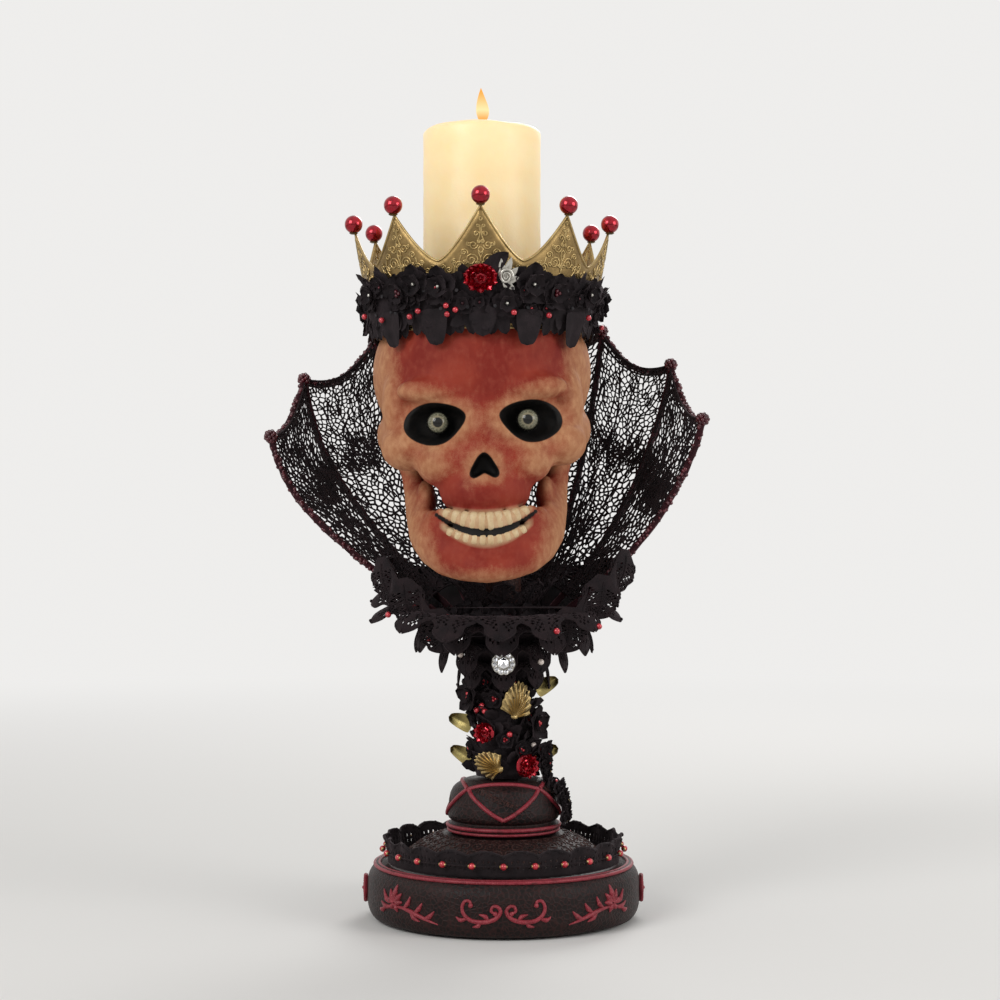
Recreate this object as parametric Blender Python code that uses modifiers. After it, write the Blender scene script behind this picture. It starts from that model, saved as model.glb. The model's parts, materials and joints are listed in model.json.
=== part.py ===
# Skull candle holder: a round base, a bell pedestal, a garlanded stem, a lace collar on a wire
# frame, a crowned skull and a pillar candle. Metres, +Z up, front towards -Y, origin under the base.

import math
import random

import bmesh
import bpy
from mathutils import Matrix, Vector

# Gap kept between two pieces that touch
GAP = 0.0003

# Felt pad and base drum
FELT_RADIUS = 0.078
FELT_THICKNESS = 0.0015
BASE_RADIUS = 0.088
DRUM_HEIGHT = 0.0335
DRUM_EDGE = 0.005
RING_RADIUS = 0.0018
RING_INSET = 0.0065
LAND_RADIUS = 0.0700
DOME_HEIGHT = 0.0190
DOME_TOP_RADIUS = 0.0380
TURNED_STEPS = 36

# Relief on the drum
STROKE_RADIUS = 0.0012
SPRAY_AZIMUTH = 50
MEDALLION_WIDTH = 0.0150
MEDALLION_HEIGHT = 0.0180
MEDALLION_DEPTH = 0.0035

# Ruffle and beads on the base
RUFFLE_RADIUS = 0.0745
RUFFLE_HEIGHT = 0.0165
RUFFLE_WAVE = 0.0011
RUFFLE_LOBES = 22
RUFFLE_COLUMNS = 3
RUFFLE_SCALLOP = 0.0030
CLOTH_THICKNESS = 0.0010
BEAD_COUNT = 25
BEAD_RADIUS = 0.0021
THREAD_RADIUS = 0.0006

# Pedestal bell
PEDESTAL_FOOT_RADIUS = 0.0362
PEDESTAL_BELLY_RADIUS = 0.0362
PEDESTAL_TOP_RADIUS = 0.0262
PEDESTAL_HEIGHT = 0.0350
CORD_RADIUS = 0.0013
PANEL_COUNT = 4

# Stem, rod and fixings
STEM_RADIUS = 0.0114
STEM_HEIGHT = 0.2160
STEM_FILLET = 0.0020
ROD_RADIUS = 0.0030
ROD_ABOVE_STEM = 0.0250
NUT_RADIUS = 0.0062
NUT_HEIGHT = 0.0050
WASHER_RADIUS = 0.0085
WASHER_THICKNESS = 0.0012
RECESS_RADIUS = 0.0105
RECESS_DEPTH = 0.0090
ROD_END_ROOM = 0.0010

# Garland wound on the stem
GARLAND_RADIUS = 0.0225
GARLAND_HEIGHT = 0.0610
GARLAND_ROWS = 6
GARLAND_COLUMNS = 20
GARLAND_LUMPS = 0.012
STRAND_RADIUS = 0.0040
STRAND_AZIMUTH = 78
FLOWER_RADIUS = 0.0115
FLOWER_DEPTH = 0.0050
PETAL_LENGTH = 0.0160
PETAL_WIDTH = 0.0100
PETAL_THICKNESS = 0.0022
SHELL_WIDTH = 0.0200
SHELL_HEIGHT = 0.0200
SHELL_DEPTH = 0.0036
ROSETTE_RADIUS = 0.0082
ROSETTE_DEPTH = 0.0048

# Collar: frame, hoop and lace
HOOP_ABOVE_PEDESTAL = 0.0900
HOOP_POINTS = 14
RIB_RADIUS = 0.0024
EDGING_RADIUS = 0.0030
KNOB_RADIUS = 0.0046
COLLAR_RISE = 0.1380
COLLAR_REACH = 0.1430
COLLAR_BACK_RISE = 0.2170
RIB_AZIMUTHS = (97, 122, 147, 169)
BOWL_OUT = 0.90
BOWL_UP = 0.50
COLLAR_SHIFT = -0.0110
COLLAR_LEAN = 0.040
SCALLOP_SAG = 0.085
LACE_THICKNESS = 0.0011
CHORD_SAG = 0.0012
LACE_START = 0.16
LACE_ROWS = 5
LACE_COLUMNS = 14
LACE_JITTER = 0.26

# Neck ruff: for each tier the drop of its foot below the hoop, its crest's and its tip's place
# (radius, height over the foot), and the number of leaves
RUFF_TIERS = (
    (0.0080, (0.0460, 0.0190), (0.0620, 0.0085), 11),
    (0.0165, (0.0340, 0.0150), (0.0460, 0.0040), 10),
    (0.0250, (0.0250, 0.0110), (0.0335, 0.0020), 8),
)
RUFF_NOTCH = 0.30
# The standing frill round the post, below the chin: crest, tip and leaves as above
INNER_RUFF = ((0.0235, 0.0195), (0.0350, 0.0330), 9)
INNER_RUFF_RISE = 0.0030
UPPER_RUFF_START = 0.10
UPPER_RUFF_END = 0.37
UPPER_RUFF_DROOP = 0.0200
UPPER_RUFF_LEAVES = 13
BROOCH_RADIUS = 0.0072
BROOCH_DEPTH = 0.0026
STONE_RADIUS = 0.0036

# Skull
HEAD_SHIFT = -0.0140
HEAD_TILT = -2.0
SKULL_WIDTH = 0.1440
SKULL_DEPTH = 0.1420
SKULL_HEIGHT = 0.1920
SKULL_VOXEL = 0.0030
SKULL_KEEP = 0.066
SOCKET_DEPTH = 0.0170
CROWN_CUT = 0.0540
EYE_RADIUS = 0.0074
EYE_BEDDING = 0.0007

# Tray, crown and candle
TRAY_THICKNESS = 0.0018
TRAY_RIM = 0.0050
CROWN_ROUND_SKULL = 0.0690
CROWN_FLARE = 0.0150
CROWN_HEIGHT = 0.0738
CROWN_SIDE_DROP = 0.0085
CROWN_BELOW_TRAY = 0.0310
CROWN_VALLEY = 0.0410
CROWN_POINTS = 9
CROWN_COLUMNS = 6
SHEET_THICKNESS = 0.0008
BALL_RADIUS = 0.0058
WREATH_HEIGHT = 0.0300
WREATH_THICKNESS = 0.0040
WREATH_FROM_BOTTOM = 0.0030
WREATH_STEPS = 36
WREATH_LEAF = 0.0190
LEAF_THICKNESS = 0.0018
CANDLE_RADIUS = 0.0380
CANDLE_HEIGHT = 0.1020
CANDLE_EDGE = 0.0025
WICK_RADIUS = 0.0008
WICK_HEIGHT = 0.0090
WICK_HOLE_DEPTH = 0.0060

# Heights worked out from the sizes above
BASE_BOTTOM = FELT_THICKNESS + GAP
DRUM_TOP = BASE_BOTTOM + DRUM_HEIGHT
DOME_TOP = DRUM_TOP + DOME_HEIGHT
PEDESTAL_BOTTOM = DOME_TOP + GAP
PEDESTAL_TOP = PEDESTAL_BOTTOM + PEDESTAL_HEIGHT
STEM_BOTTOM = PEDESTAL_TOP + GAP
STEM_TOP = STEM_BOTTOM + STEM_HEIGHT
HOOP_HEIGHT = PEDESTAL_TOP + HOOP_ABOVE_PEDESTAL
HOOP_RADIUS = (STEM_RADIUS + GAP + RIB_RADIUS) / math.cos(math.pi / HOOP_POINTS)
SOCKET_BOTTOM = 0.0160
SKULL_FORM = (SKULL_WIDTH / 0.144, SKULL_DEPTH / 0.142, SKULL_HEIGHT / 0.192)
CRANIUM_HALF_HEIGHT = 0.062 * SKULL_FORM[2]
SKULL_CENTRE = STEM_TOP - SOCKET_BOTTOM + CRANIUM_HALF_HEIGHT
TRAY_BOTTOM = SKULL_CENTRE + CROWN_CUT * SKULL_FORM[2] + GAP
TRAY_TOP = TRAY_BOTTOM + TRAY_THICKNESS
CROWN_BOTTOM = TRAY_BOTTOM - CROWN_BELOW_TRAY
CROWN_BOTTOM_RADIUS = CROWN_ROUND_SKULL * max(SKULL_FORM[0], SKULL_FORM[1])
CROWN_SLOPE = CROWN_FLARE / CROWN_HEIGHT
CANDLE_BOTTOM = TRAY_TOP + GAP
CANDLE_TOP = CANDLE_BOTTOM + CANDLE_HEIGHT


def clear_scene():
    for obj in list(bpy.data.objects):
        bpy.data.objects.remove(obj)


def new_collection(name):
    collection = bpy.data.collections.new(name)
    bpy.context.scene.collection.children.link(collection)
    return collection


def finish(name, colour, roughness, metallic=0.0):
    """A Principled material in one colour."""
    material = bpy.data.materials.new(name)
    material.use_nodes = True
    shader = material.node_tree.nodes["Principled BSDF"]
    shader.inputs["Base Color"].default_value = (*colour, 1)
    shader.inputs["Roughness"].default_value = roughness
    shader.inputs["Metallic"].default_value = metallic
    return material


clear_scene()
PARTS = new_collection("skull_candle_holder")
CUTTERS = new_collection("cutters")

FELT = finish("felt", (0.03, 0.03, 0.03), 0.95)
BLACK_RESIN = finish("black_resin", (0.025, 0.018, 0.016), 0.55)
RED_PAINT = finish("red_paint", (0.33, 0.03, 0.04), 0.45)
STEEL = finish("steel", (0.55, 0.55, 0.56), 0.35, 1.0)
BLACK_CLOTH = finish("black_cloth", (0.02, 0.016, 0.018), 0.9)
BLACK_LACE = finish("black_lace", (0.02, 0.014, 0.016), 0.85)
RED_CORD = finish("red_cord", (0.13, 0.02, 0.025), 0.8)
RED_METAL = finish("red_metal", (0.45, 0.01, 0.02), 0.22, 0.8)
ANTIQUE_GOLD = finish("antique_gold", (0.42, 0.30, 0.14), 0.42, 0.9)
BONE_RED = finish("skull_paint", (0.42, 0.13, 0.10), 0.7)
GLASS = finish("eye_glass", (0.30, 0.33, 0.31), 0.08)
CRYSTAL = finish("crystal", (0.80, 0.80, 0.82), 0.1)
WAX = finish("wax", (0.93, 0.83, 0.60), 0.5)
CHAR = finish("wick", (0.05, 0.045, 0.04), 0.9)


def empty(name, location):
    obj = bpy.data.objects.new(name, None)
    obj.location = location
    PARTS.objects.link(obj)
    return obj


HEAD = empty("head_axis", (HEAD_SHIFT, 0, 0))


def keep(obj, material=None, parent=None, matrix=None, cutter=False):
    """Puts an object in its collection, with its material, parent and place."""
    (CUTTERS if cutter else PARTS).objects.link(obj)
    if material:
        obj.data.materials.append(material)
    obj.parent = parent
    if matrix is not None:
        obj.matrix_local = matrix
    if cutter:
        obj.hide_render = True
        obj.display_type = "WIRE"
    return obj


def from_bmesh(name, bm, smooth=True, **place):
    mesh = bpy.data.meshes.new(name)
    bm.to_mesh(mesh)
    bm.free()
    if smooth:
        mesh.shade_smooth()
    return keep(bpy.data.objects.new(name, mesh), **place)


def turned(name, profile, material=None, steps=TURNED_STEPS, **place):
    """A profile of (radius, height) points, running down its outer side, turned about Z."""
    mesh = bpy.data.meshes.new(name)
    points = [(r, 0, z) for r, z in profile]
    closed = profile[0][0] > 0
    edges = [(i, i + 1) for i in range(len(points) - 1)]
    if closed:
        edges.append((len(points) - 1, 0))
    mesh.from_pydata(points, edges, [])
    obj = keep(bpy.data.objects.new(name, mesh), material, **place)
    screw = obj.modifiers.new("turn", "SCREW")
    screw.steps = screw.render_steps = steps
    screw.use_merge_vertices = True
    screw.merge_threshold = 0.00005
    screw.use_smooth_shade = True
    return obj


def tube(name, points, radius, material=None, swell=None, cyclic=False, sides=1, **place):
    """A round bar through points; swell holds a factor of the radius for each point."""
    curve = bpy.data.curves.new(name, "CURVE")
    curve.dimensions = "3D"
    curve.bevel_depth = radius
    curve.bevel_resolution = sides
    curve.use_fill_caps = True
    spline = curve.splines.new("POLY")
    spline.points.add(len(points) - 1)
    for i, p in enumerate(points):
        spline.points[i].co = (*p, 1)
        spline.points[i].radius = swell[i] if swell else 1.0
    spline.use_cyclic_u = cyclic
    return keep(bpy.data.objects.new(name, curve), material, **place)


def as_mesh(obj):
    """The object as a mesh with welded caps, in the same place."""
    bpy.context.view_layer.update()
    graph = bpy.context.evaluated_depsgraph_get()
    mesh = bpy.data.meshes.new_from_object(obj.evaluated_get(graph))
    bm = bmesh.new()
    bm.from_mesh(mesh)
    bmesh.ops.remove_doubles(bm, verts=bm.verts, dist=0.00002)
    bmesh.ops.recalc_face_normals(bm, faces=bm.faces)
    bm.to_mesh(mesh)
    bm.free()
    made = bpy.data.objects.new(obj.name + "_mesh", mesh)
    for collection in obj.users_collection:
        collection.objects.link(made)
    made.hide_render = obj.hide_render
    made.parent = obj.parent
    made.matrix_world = obj.matrix_world
    name = obj.name
    bpy.data.objects.remove(obj)
    made.name = name
    return made


# Booleans wait here until every tool is made, so that no tool is built over an object being cut
WAITING = []


def combine(obj, tools, operation):
    WAITING.append((obj, tools, operation))


def apply_waiting():
    for step in WAITING:
        add_boolean(*step)


def add_boolean(obj, tools, operation):
    """A Boolean of obj with one tool, or with several through a collection of their own."""
    boolean = obj.modifiers.new(operation.lower(), "BOOLEAN")
    boolean.operation = operation
    boolean.solver = "EXACT"
    if len(tools) == 1:
        boolean.object = tools[0]
        return
    group = bpy.data.collections.new(obj.name + "_" + operation.lower())
    CUTTERS.children.link(group)
    for tool in tools:
        group.objects.link(tool)
        CUTTERS.objects.unlink(tool)
    boolean.operand_type = "COLLECTION"
    boolean.collection = group


def outward(azimuth, radius, height, lean=0.0, spin=0.0):
    """A place on a round carrier: local +Z points outward, +Y up. Azimuth 0 is the front, 90 the right."""
    a = math.radians(azimuth)
    out = Vector((math.sin(a), -math.cos(a), 0))
    across = Vector((math.cos(a), math.sin(a), 0))
    turn = Matrix((across, Vector((0, 0, 1)), out)).transposed().to_4x4()
    bend = Matrix.Rotation(math.radians(lean), 4, "X") @ Matrix.Rotation(math.radians(spin), 4, "Z")
    return Matrix.Translation(out * radius + Vector((0, 0, height))) @ turn @ bend


def round_point(azimuth, radius, height):
    a = math.radians(azimuth)
    return Vector((radius * math.sin(a), -radius * math.cos(a), height))


def ball(name, radius, segments=9, rings=6, **place):
    bm = bmesh.new()
    bmesh.ops.create_uvsphere(bm, u_segments=segments, v_segments=rings, radius=radius)
    return from_bmesh(name, bm, **place)


def lobed_dome(name, radii, depth, lobes, cut, segments, rings=5, **place):
    """A flat-backed dome with a lobed outline, as a flower, rosette or shell has."""
    bm = bmesh.new()
    bmesh.ops.create_uvsphere(bm, u_segments=segments, v_segments=rings, radius=1)
    for v in bm.verts:
        angle = math.atan2(v.co.y, v.co.x)
        lobe = 1 - cut * (0.5 - 0.5 * math.cos(lobes * angle))
        height = depth * (0.5 + 0.5 * v.co.z)
        v.co = Vector((v.co.x * lobe * radii[0], v.co.y * lobe * radii[1], height))
    return from_bmesh(name, bm, **place)


def leaf(name, length, width, thickness, curl=0.0, segments=8, rings=6, **place):
    """A leaf that starts at its stalk and runs along +Y, with its tip curling to +Z."""
    bm = bmesh.new()
    bmesh.ops.create_uvsphere(bm, u_segments=segments, v_segments=rings, radius=0.5)
    bmesh.ops.rotate(bm, verts=bm.verts, matrix=Matrix.Rotation(math.radians(-90), 3, "X"))
    for v in bm.verts:
        along = v.co.y + 0.5
        belly = 1.25 - 0.75 * abs(along - 0.45)
        side = v.co.x * width * belly
        v.co = Vector((side, along * length, v.co.z * thickness + curl * along * along))
    return from_bmesh(name, bm, **place)


# Base


def drum_radius(height):
    """Radius of the drum's slightly bulged side at a height above the base's bottom."""
    share = height / DRUM_HEIGHT
    return BASE_RADIUS - DRUM_EDGE * abs(2 * share - 0.95) ** 4


def base_profile():
    side = [(drum_radius(DRUM_HEIGHT * i / 4), BASE_BOTTOM + DRUM_HEIGHT * i / 4) for i in range(4, -1, -1)]
    ring = BASE_RADIUS - RING_INSET
    ring_line = [
        (ring + RING_RADIUS * math.cos(math.radians(a)), DRUM_TOP + RING_RADIUS * math.sin(math.radians(a)))
        for a in (160, 100, 40, 0)
    ]
    dome = []
    for i in range(5):
        share = i / 4
        radius = DOME_TOP_RADIUS + (LAND_RADIUS - DOME_TOP_RADIUS) * share
        dome.append((radius, DRUM_TOP + DOME_HEIGHT * (1 - share**1.7)))
    bore = ROD_RADIUS + GAP
    return (
        [(bore, DOME_TOP)]
        + dome
        + ring_line
        + side
        + [
            (RECESS_RADIUS, BASE_BOTTOM),
            (RECESS_RADIUS, BASE_BOTTOM + RECESS_DEPTH),
            (bore, BASE_BOTTOM + RECESS_DEPTH),
        ]
    )


def on_drum(azimuth, across, up, proud=0.0):
    """A point on the drum's side, across and up from the middle of a motif."""
    height = 0.5 * DRUM_HEIGHT + up
    radius = drum_radius(height) + proud
    return round_point(azimuth + math.degrees(across / BASE_RADIUS), radius, BASE_BOTTOM + height)


# A scroll from its small curl, by its belly, to its open hook: millimetres across and up from the
# middle of the pair
SCROLL_LINE = (
    (4.9, -1.2), (7.4, 0.4), (6.4, 3.2), (3.4, 3.0), (1.8, 0.0), (4.4, -3.8), (9.0, -5.8), (14.0, -6.3),
    (19.5, -5.7), (24.0, -2.6), (25.6, 2.0), (23.8, 6.0), (20.8, 6.0), (20.2, 3.6),
)
# A spray: each petal's lean from upright and its length; then the stalk towards the scrolls and its twig
SPRAY_PETALS = ((0, 10.5), (-42, 8.0), (42, 7.5), (-86, 7.5), (80, 5.0), (176, 5.5))
SPRAY_STALK = ((0.5, -2.0), (8.0, -1.6), (15.0, -3.6), (22.0, -7.0))
SPRAY_TWIG = ((9.0, -2.2), (13.0, 1.6), (15.5, 5.2))


def relief_line(name, azimuth, side, line, swell=None):
    """A raised line on the drum, through points in millimetres from the middle of its motif."""
    points = [on_drum(azimuth, side * across / 1000, up / 1000) for across, up in line]
    return as_mesh(tube(name, points, STROKE_RADIUS, swell=swell, sides=0, cutter=True))


def scroll(name, azimuth, side):
    return relief_line(name, azimuth, side, SCROLL_LINE)


def spray(name, azimuth, side):
    """A lily on a stalk that bends towards the scrolls."""
    pieces = []
    for i, (lean, length) in enumerate(SPRAY_PETALS):
        a = math.radians(lean)
        line = [(math.sin(a) * length * s, math.cos(a) * length * s) for s in (0.05, 0.5, 1.0)]
        pieces.append(relief_line(f"{name}_petal_{i}", azimuth, side, line, (0.7, 1.4, 0.3)))
    pieces.append(relief_line(f"{name}_stalk", azimuth, side, SPRAY_STALK, (0.7, 1.0, 1.0, 0.4)))
    pieces.append(relief_line(f"{name}_twig", azimuth, side, SPRAY_TWIG, (0.6, 1.2, 0.4)))
    return pieces


def make_base():
    base = turned("base", base_profile(), BLACK_RESIN)
    relief = []
    for side in (-1, 1):
        relief.append(scroll(f"scroll_{side + 1}", 0, side))
        relief += spray(f"spray_{side + 1}", -side * SPRAY_AZIMUTH, side)
    combine(base, relief, "UNION")


def make_felt():
    half = FELT_THICKNESS
    turned("felt_pad", [(0, half), (FELT_RADIUS, half), (FELT_RADIUS, 0), (0, 0)], FELT, steps=40)


def make_medallions():
    for name, azimuth in (("medallion_left", -90), ("medallion_right", 90)):
        seat = drum_radius(0.5 * DRUM_HEIGHT) + GAP
        radii = (MEDALLION_WIDTH / 2, MEDALLION_HEIGHT / 2)
        place = outward(azimuth, seat, BASE_BOTTOM + 0.5 * DRUM_HEIGHT)
        lobed_dome(name, radii, MEDALLION_DEPTH, 6, 0.08, 12, 5, material=RED_PAINT, matrix=place)


def make_fixings():
    rod_bottom = BASE_BOTTOM + ROD_END_ROOM
    rod_top = STEM_TOP + ROD_ABOVE_STEM
    turned("tie_rod", [(0, rod_top), (ROD_RADIUS, rod_top), (ROD_RADIUS, rod_bottom), (0, rod_bottom)],
           STEEL, steps=12)
    bore = ROD_RADIUS + GAP
    washer_top = BASE_BOTTOM + RECESS_DEPTH - GAP
    washer_bottom = washer_top - WASHER_THICKNESS
    turned("tie_washer", [(bore, washer_top), (WASHER_RADIUS, washer_top), (WASHER_RADIUS, washer_bottom),
                          (bore, washer_bottom)], STEEL, steps=16)
    nut_top = washer_bottom - GAP
    nut_bottom = nut_top - NUT_HEIGHT
    nut = turned("tie_nut", [(0, nut_top), (NUT_RADIUS, nut_top), (NUT_RADIUS, nut_bottom), (0, nut_bottom)],
                 STEEL, steps=6)
    over, under = nut_top + NUT_HEIGHT, nut_bottom - NUT_HEIGHT
    hole = turned("nut_bore", [(0, over), (bore, over), (bore, under), (0, under)], steps=12, cutter=True)
    combine(nut, [as_mesh(hole)], "DIFFERENCE")


def ruffle_radius(angle):
    return RUFFLE_RADIUS + RUFFLE_WAVE * math.sin(RUFFLE_LOBES * angle)


def make_ruffle():
    """A gathered ribbon that stands on the drum's land, with a scalloped top."""
    bm = bmesh.new()
    columns = RUFFLE_LOBES * RUFFLE_COLUMNS
    bottom = DRUM_TOP + GAP + CLOTH_THICKNESS
    rows = []
    for share in (0.0, 1.0):
        row = []
        for i in range(columns):
            angle = 2 * math.pi * i / columns
            scallop = RUFFLE_SCALLOP * (1 - abs(math.cos(RUFFLE_LOBES * angle / 2)))
            height = bottom + share * (RUFFLE_HEIGHT - scallop)
            flare = 0.0012 * share * share
            radius = RUFFLE_RADIUS + RUFFLE_WAVE * share * math.sin(RUFFLE_LOBES * angle) + flare
            row.append(bm.verts.new((radius * math.cos(angle), radius * math.sin(angle), height)))
        rows.append(row)
    for low, high in zip(rows, rows[1:]):
        for i in range(columns):
            j = (i + 1) % columns
            bm.faces.new((low[i], low[j], high[j], high[i]))
    ruffle = from_bmesh("base_ruffle", bm, material=BLACK_CLOTH)
    thicken(ruffle, CLOTH_THICKNESS)


def thicken(obj, thickness, offset=0.0):
    shell = obj.modifiers.new("thickness", "SOLIDIFY")
    shell.thickness = thickness
    shell.offset = offset
    return obj


def make_bead_string():
    """Beads and the thread through them, as one string sewn round the ruffle."""
    radius = RUFFLE_RADIUS + RUFFLE_WAVE * 0.55 + 0.0004 + CLOTH_THICKNESS / 2 + GAP + BEAD_RADIUS
    height = DRUM_TOP + RUFFLE_HEIGHT * 0.55
    points, swell = [], []
    step = 360 / BEAD_COUNT
    half = math.degrees(BEAD_RADIUS / radius)
    thin = THREAD_RADIUS / BEAD_RADIUS
    for i in range(BEAD_COUNT):
        for shift, size in ((-half, thin), (0, 1.0), (half, thin)):
            points.append(round_point(i * step + shift, radius, height))
            swell.append(size)
    tube("base_bead_string", points, BEAD_RADIUS, RED_METAL, swell=swell, cyclic=True, sides=1)


# Pedestal


def pedestal_profile():
    foot, belly, top = PEDESTAL_FOOT_RADIUS, PEDESTAL_BELLY_RADIUS, PEDESTAL_TOP_RADIUS
    h = PEDESTAL_HEIGHT
    shape = (
        (top * 0.90, 1.0), (top, 0.97), (0.36 * top + 0.64 * belly, 0.84), (belly * 0.965, 0.62), (belly, 0.40),
        (belly * 0.985, 0.29), (foot * 0.935, 0.235), (foot * 1.0, 0.155), (foot * 0.985, 0.06), (foot * 0.93, 0.0),
    )
    return [(r, PEDESTAL_BOTTOM + h * share) for r, share in shape]


def pedestal_radius(height):
    """Radius of the bell at a height, read off its profile."""
    profile = pedestal_profile()
    if height >= profile[0][1]:
        return profile[0][0]
    for (r1, z1), (r2, z2) in zip(profile, profile[1:]):
        if z2 <= height <= z1:
            return r2 + (r1 - r2) * (height - z2) / (z1 - z2)
    return profile[-1][0]


def on_bell(azimuth, share):
    height = PEDESTAL_BOTTOM + PEDESTAL_HEIGHT * share
    return round_point(azimuth, pedestal_radius(height), height)


def make_pedestal():
    bore = ROD_RADIUS + GAP
    profile = [(bore, PEDESTAL_TOP)] + pedestal_profile() + [(bore, PEDESTAL_BOTTOM)]
    pedestal = turned("pedestal", profile, BLACK_RESIN, steps=28)
    cords = []
    step = 360 / PANEL_COUNT
    for i in range(PANEL_COUNT):
        middle = i * step
        for side in (-1, 1):
            points = [on_bell(middle + side * step * s / 2, 0.34 + 0.54 * s**1.15) for s in
                      (0.0, 0.3, 0.62, 0.98)]
            cords.append(as_mesh(tube(f"shield_{i}_{side + 1}", points, CORD_RADIUS, sides=0, cutter=True)))
        points = [on_bell(middle + step * s / 2, 0.965 - 0.10 * abs(s) ** 2.5) for s in
                  (-0.95, -0.4, 0.4, 0.95)]
        cords.append(as_mesh(tube(f"arch_{i}", points, CORD_RADIUS, sides=0, cutter=True)))
    combine(pedestal, cords, "UNION")


def make_strand():
    """The beaded strand that hangs down the right side of the bell."""
    points, swell = [], []
    for i in range(17):
        share = i / 16
        height = PEDESTAL_TOP + 0.0200 - share * (0.0200 + PEDESTAL_HEIGHT * 0.68)
        seat = max(pedestal_radius(min(height, PEDESTAL_TOP)) + CORD_RADIUS, GARLAND_RADIUS)
        points.append(round_point(STRAND_AZIMUTH + 10 * share, seat + 4 * GAP + STRAND_RADIUS, height))
        swell.append(1.0 if i % 2 else 0.70)
    tube("pedestal_strand", points, STRAND_RADIUS, BLACK_CLOTH, swell=swell, sides=1)


# Stem and what is wound and fixed on it


def make_stem():
    bore = ROD_RADIUS + GAP
    radius = STEM_RADIUS
    turned(
        "stem",
        [
            (bore, STEM_TOP),
            (radius - STEM_FILLET, STEM_TOP),
            (radius, STEM_TOP - STEM_FILLET),
            (radius, STEM_BOTTOM),
            (bore, STEM_BOTTOM),
        ],
        BLACK_RESIN,
        steps=20,
    )


def make_garland():
    """The dark garland round the stem as one lumpy sleeve."""
    rng = random.Random(11)
    bm = bmesh.new()
    rings = []
    for r in range(GARLAND_ROWS + 1):
        height = STEM_BOTTOM + GAP + GARLAND_HEIGHT * r / GARLAND_ROWS
        ring = []
        for c in range(GARLAND_COLUMNS):
            end = 0 < r < GARLAND_ROWS
            radius = GARLAND_RADIUS * (rng.uniform(1 - GARLAND_LUMPS, 1.0) if end else 0.90)
            ring.append(bm.verts.new(round_point(360 * (c + 0.5 * (r % 2)) / GARLAND_COLUMNS, radius, height)))
        rings.append(ring)
    inner = STEM_RADIUS + GAP
    for height, twist in ((GARLAND_HEIGHT, 0.5 * (GARLAND_ROWS % 2)), (0, 0)):
        rings.append([bm.verts.new(round_point(360 * (c + twist) / GARLAND_COLUMNS, inner, STEM_BOTTOM + GAP + height))
                      for c in range(GARLAND_COLUMNS)])
    for low, high in zip(rings, rings[1:] + rings[:1]):
        for c in range(GARLAND_COLUMNS):
            d = (c + 1) % GARLAND_COLUMNS
            bm.faces.new((low[c], low[d], high[d], high[c]))
    bmesh.ops.recalc_face_normals(bm, faces=bm.faces)
    from_bmesh("stem_garland", bm, material=BLACK_CLOTH)


def make_stem_dressing():
    seat = GARLAND_RADIUS + GAP
    low = STEM_BOTTOM
    for i, (azimuth, up) in enumerate(((-62, 0.0540), (62, 0.0360), (165, 0.0400)), 1):
        lobed_dome(f"stem_flower_{i}", (FLOWER_RADIUS, FLOWER_RADIUS), FLOWER_DEPTH, 5, 0.34, 15, 4,
                   material=BLACK_CLOTH, matrix=outward(azimuth, seat, low + up))
    for i, (azimuth, up, spin) in enumerate(((92, 0.0575, -62), (100, 0.0150, -75), (-98, 0.0345, 70),
                                             (-100, 0.0120, 60)), 1):
        place = outward(azimuth, seat, low + up) @ Matrix.Rotation(
            math.radians(spin * 0.5), 4, "Z") @ Matrix.Rotation(math.radians(48), 4, "X")
        leaf(f"gold_petal_{i}", PETAL_LENGTH, PETAL_WIDTH, PETAL_THICKNESS, material=ANTIQUE_GOLD, matrix=place)
    for i, (azimuth, up, size) in enumerate(((22, 0.0520, 1.0), (-24, 0.0110, 0.85)), 1):
        lobed_dome(f"gold_shell_{i}", (SHELL_WIDTH / 2 * size, SHELL_HEIGHT / 2 * size), SHELL_DEPTH, 11, 0.12,
                   22, 5, material=ANTIQUE_GOLD, matrix=outward(azimuth, seat, low + up))
    for i, (azimuth, up, size) in enumerate(((-30, 0.0310, 0.85), (38, 0.0095, 1.0)), 1):
        radius = ROSETTE_RADIUS * size
        lobed_dome(f"red_rosette_{i}", (radius, radius), ROSETTE_DEPTH, 8, 0.16, 16, 5,
                   material=RED_METAL, matrix=outward(azimuth, seat, low + up))


# Collar


def rib_tip(azimuth):
    """Radius and height of the collar's tip line at an azimuth counted from the front."""
    first, last = RIB_AZIMUTHS[0], RIB_AZIMUTHS[-1]
    share = min(max((abs(azimuth) - first) / (last - first), 0.0), 1.0)
    rise = COLLAR_RISE + (COLLAR_BACK_RISE - COLLAR_RISE) * math.sin(share * math.pi / 2)
    reach = COLLAR_REACH + 0.006 * math.sin(share * math.pi)
    return reach, HOOP_HEIGHT + rise


def on_collar(azimuth, t, inward=0.0):
    """A point of the collar's bowl: t runs from the hoop (0) to the tip line (1)."""
    reach, top = rib_tip(azimuth)
    blend = 2 * (1 - t) * t
    out = blend * BOWL_OUT + t * t
    up = blend * BOWL_UP + t * t
    radius = HOOP_RADIUS + (reach - HOOP_RADIUS) * out - inward * math.sqrt(0.5)
    height = HOOP_HEIGHT + (top - HOOP_HEIGHT) * up + inward * math.sqrt(0.5)
    point = round_point(azimuth, radius, height)
    lift = COLLAR_LEAN * point.x * t
    return point + Vector((COLLAR_SHIFT * min(t * 1.4, 1.0), 0, lift))


def full_azimuths():
    """Rib azimuths from the left front, round the back, to the right front, as angles that only grow."""
    return sorted([a for a in RIB_AZIMUTHS] + [360 - a for a in RIB_AZIMUTHS])


def signed(azimuth):
    return azimuth if azimuth <= 180 else azimuth - 360


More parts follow.
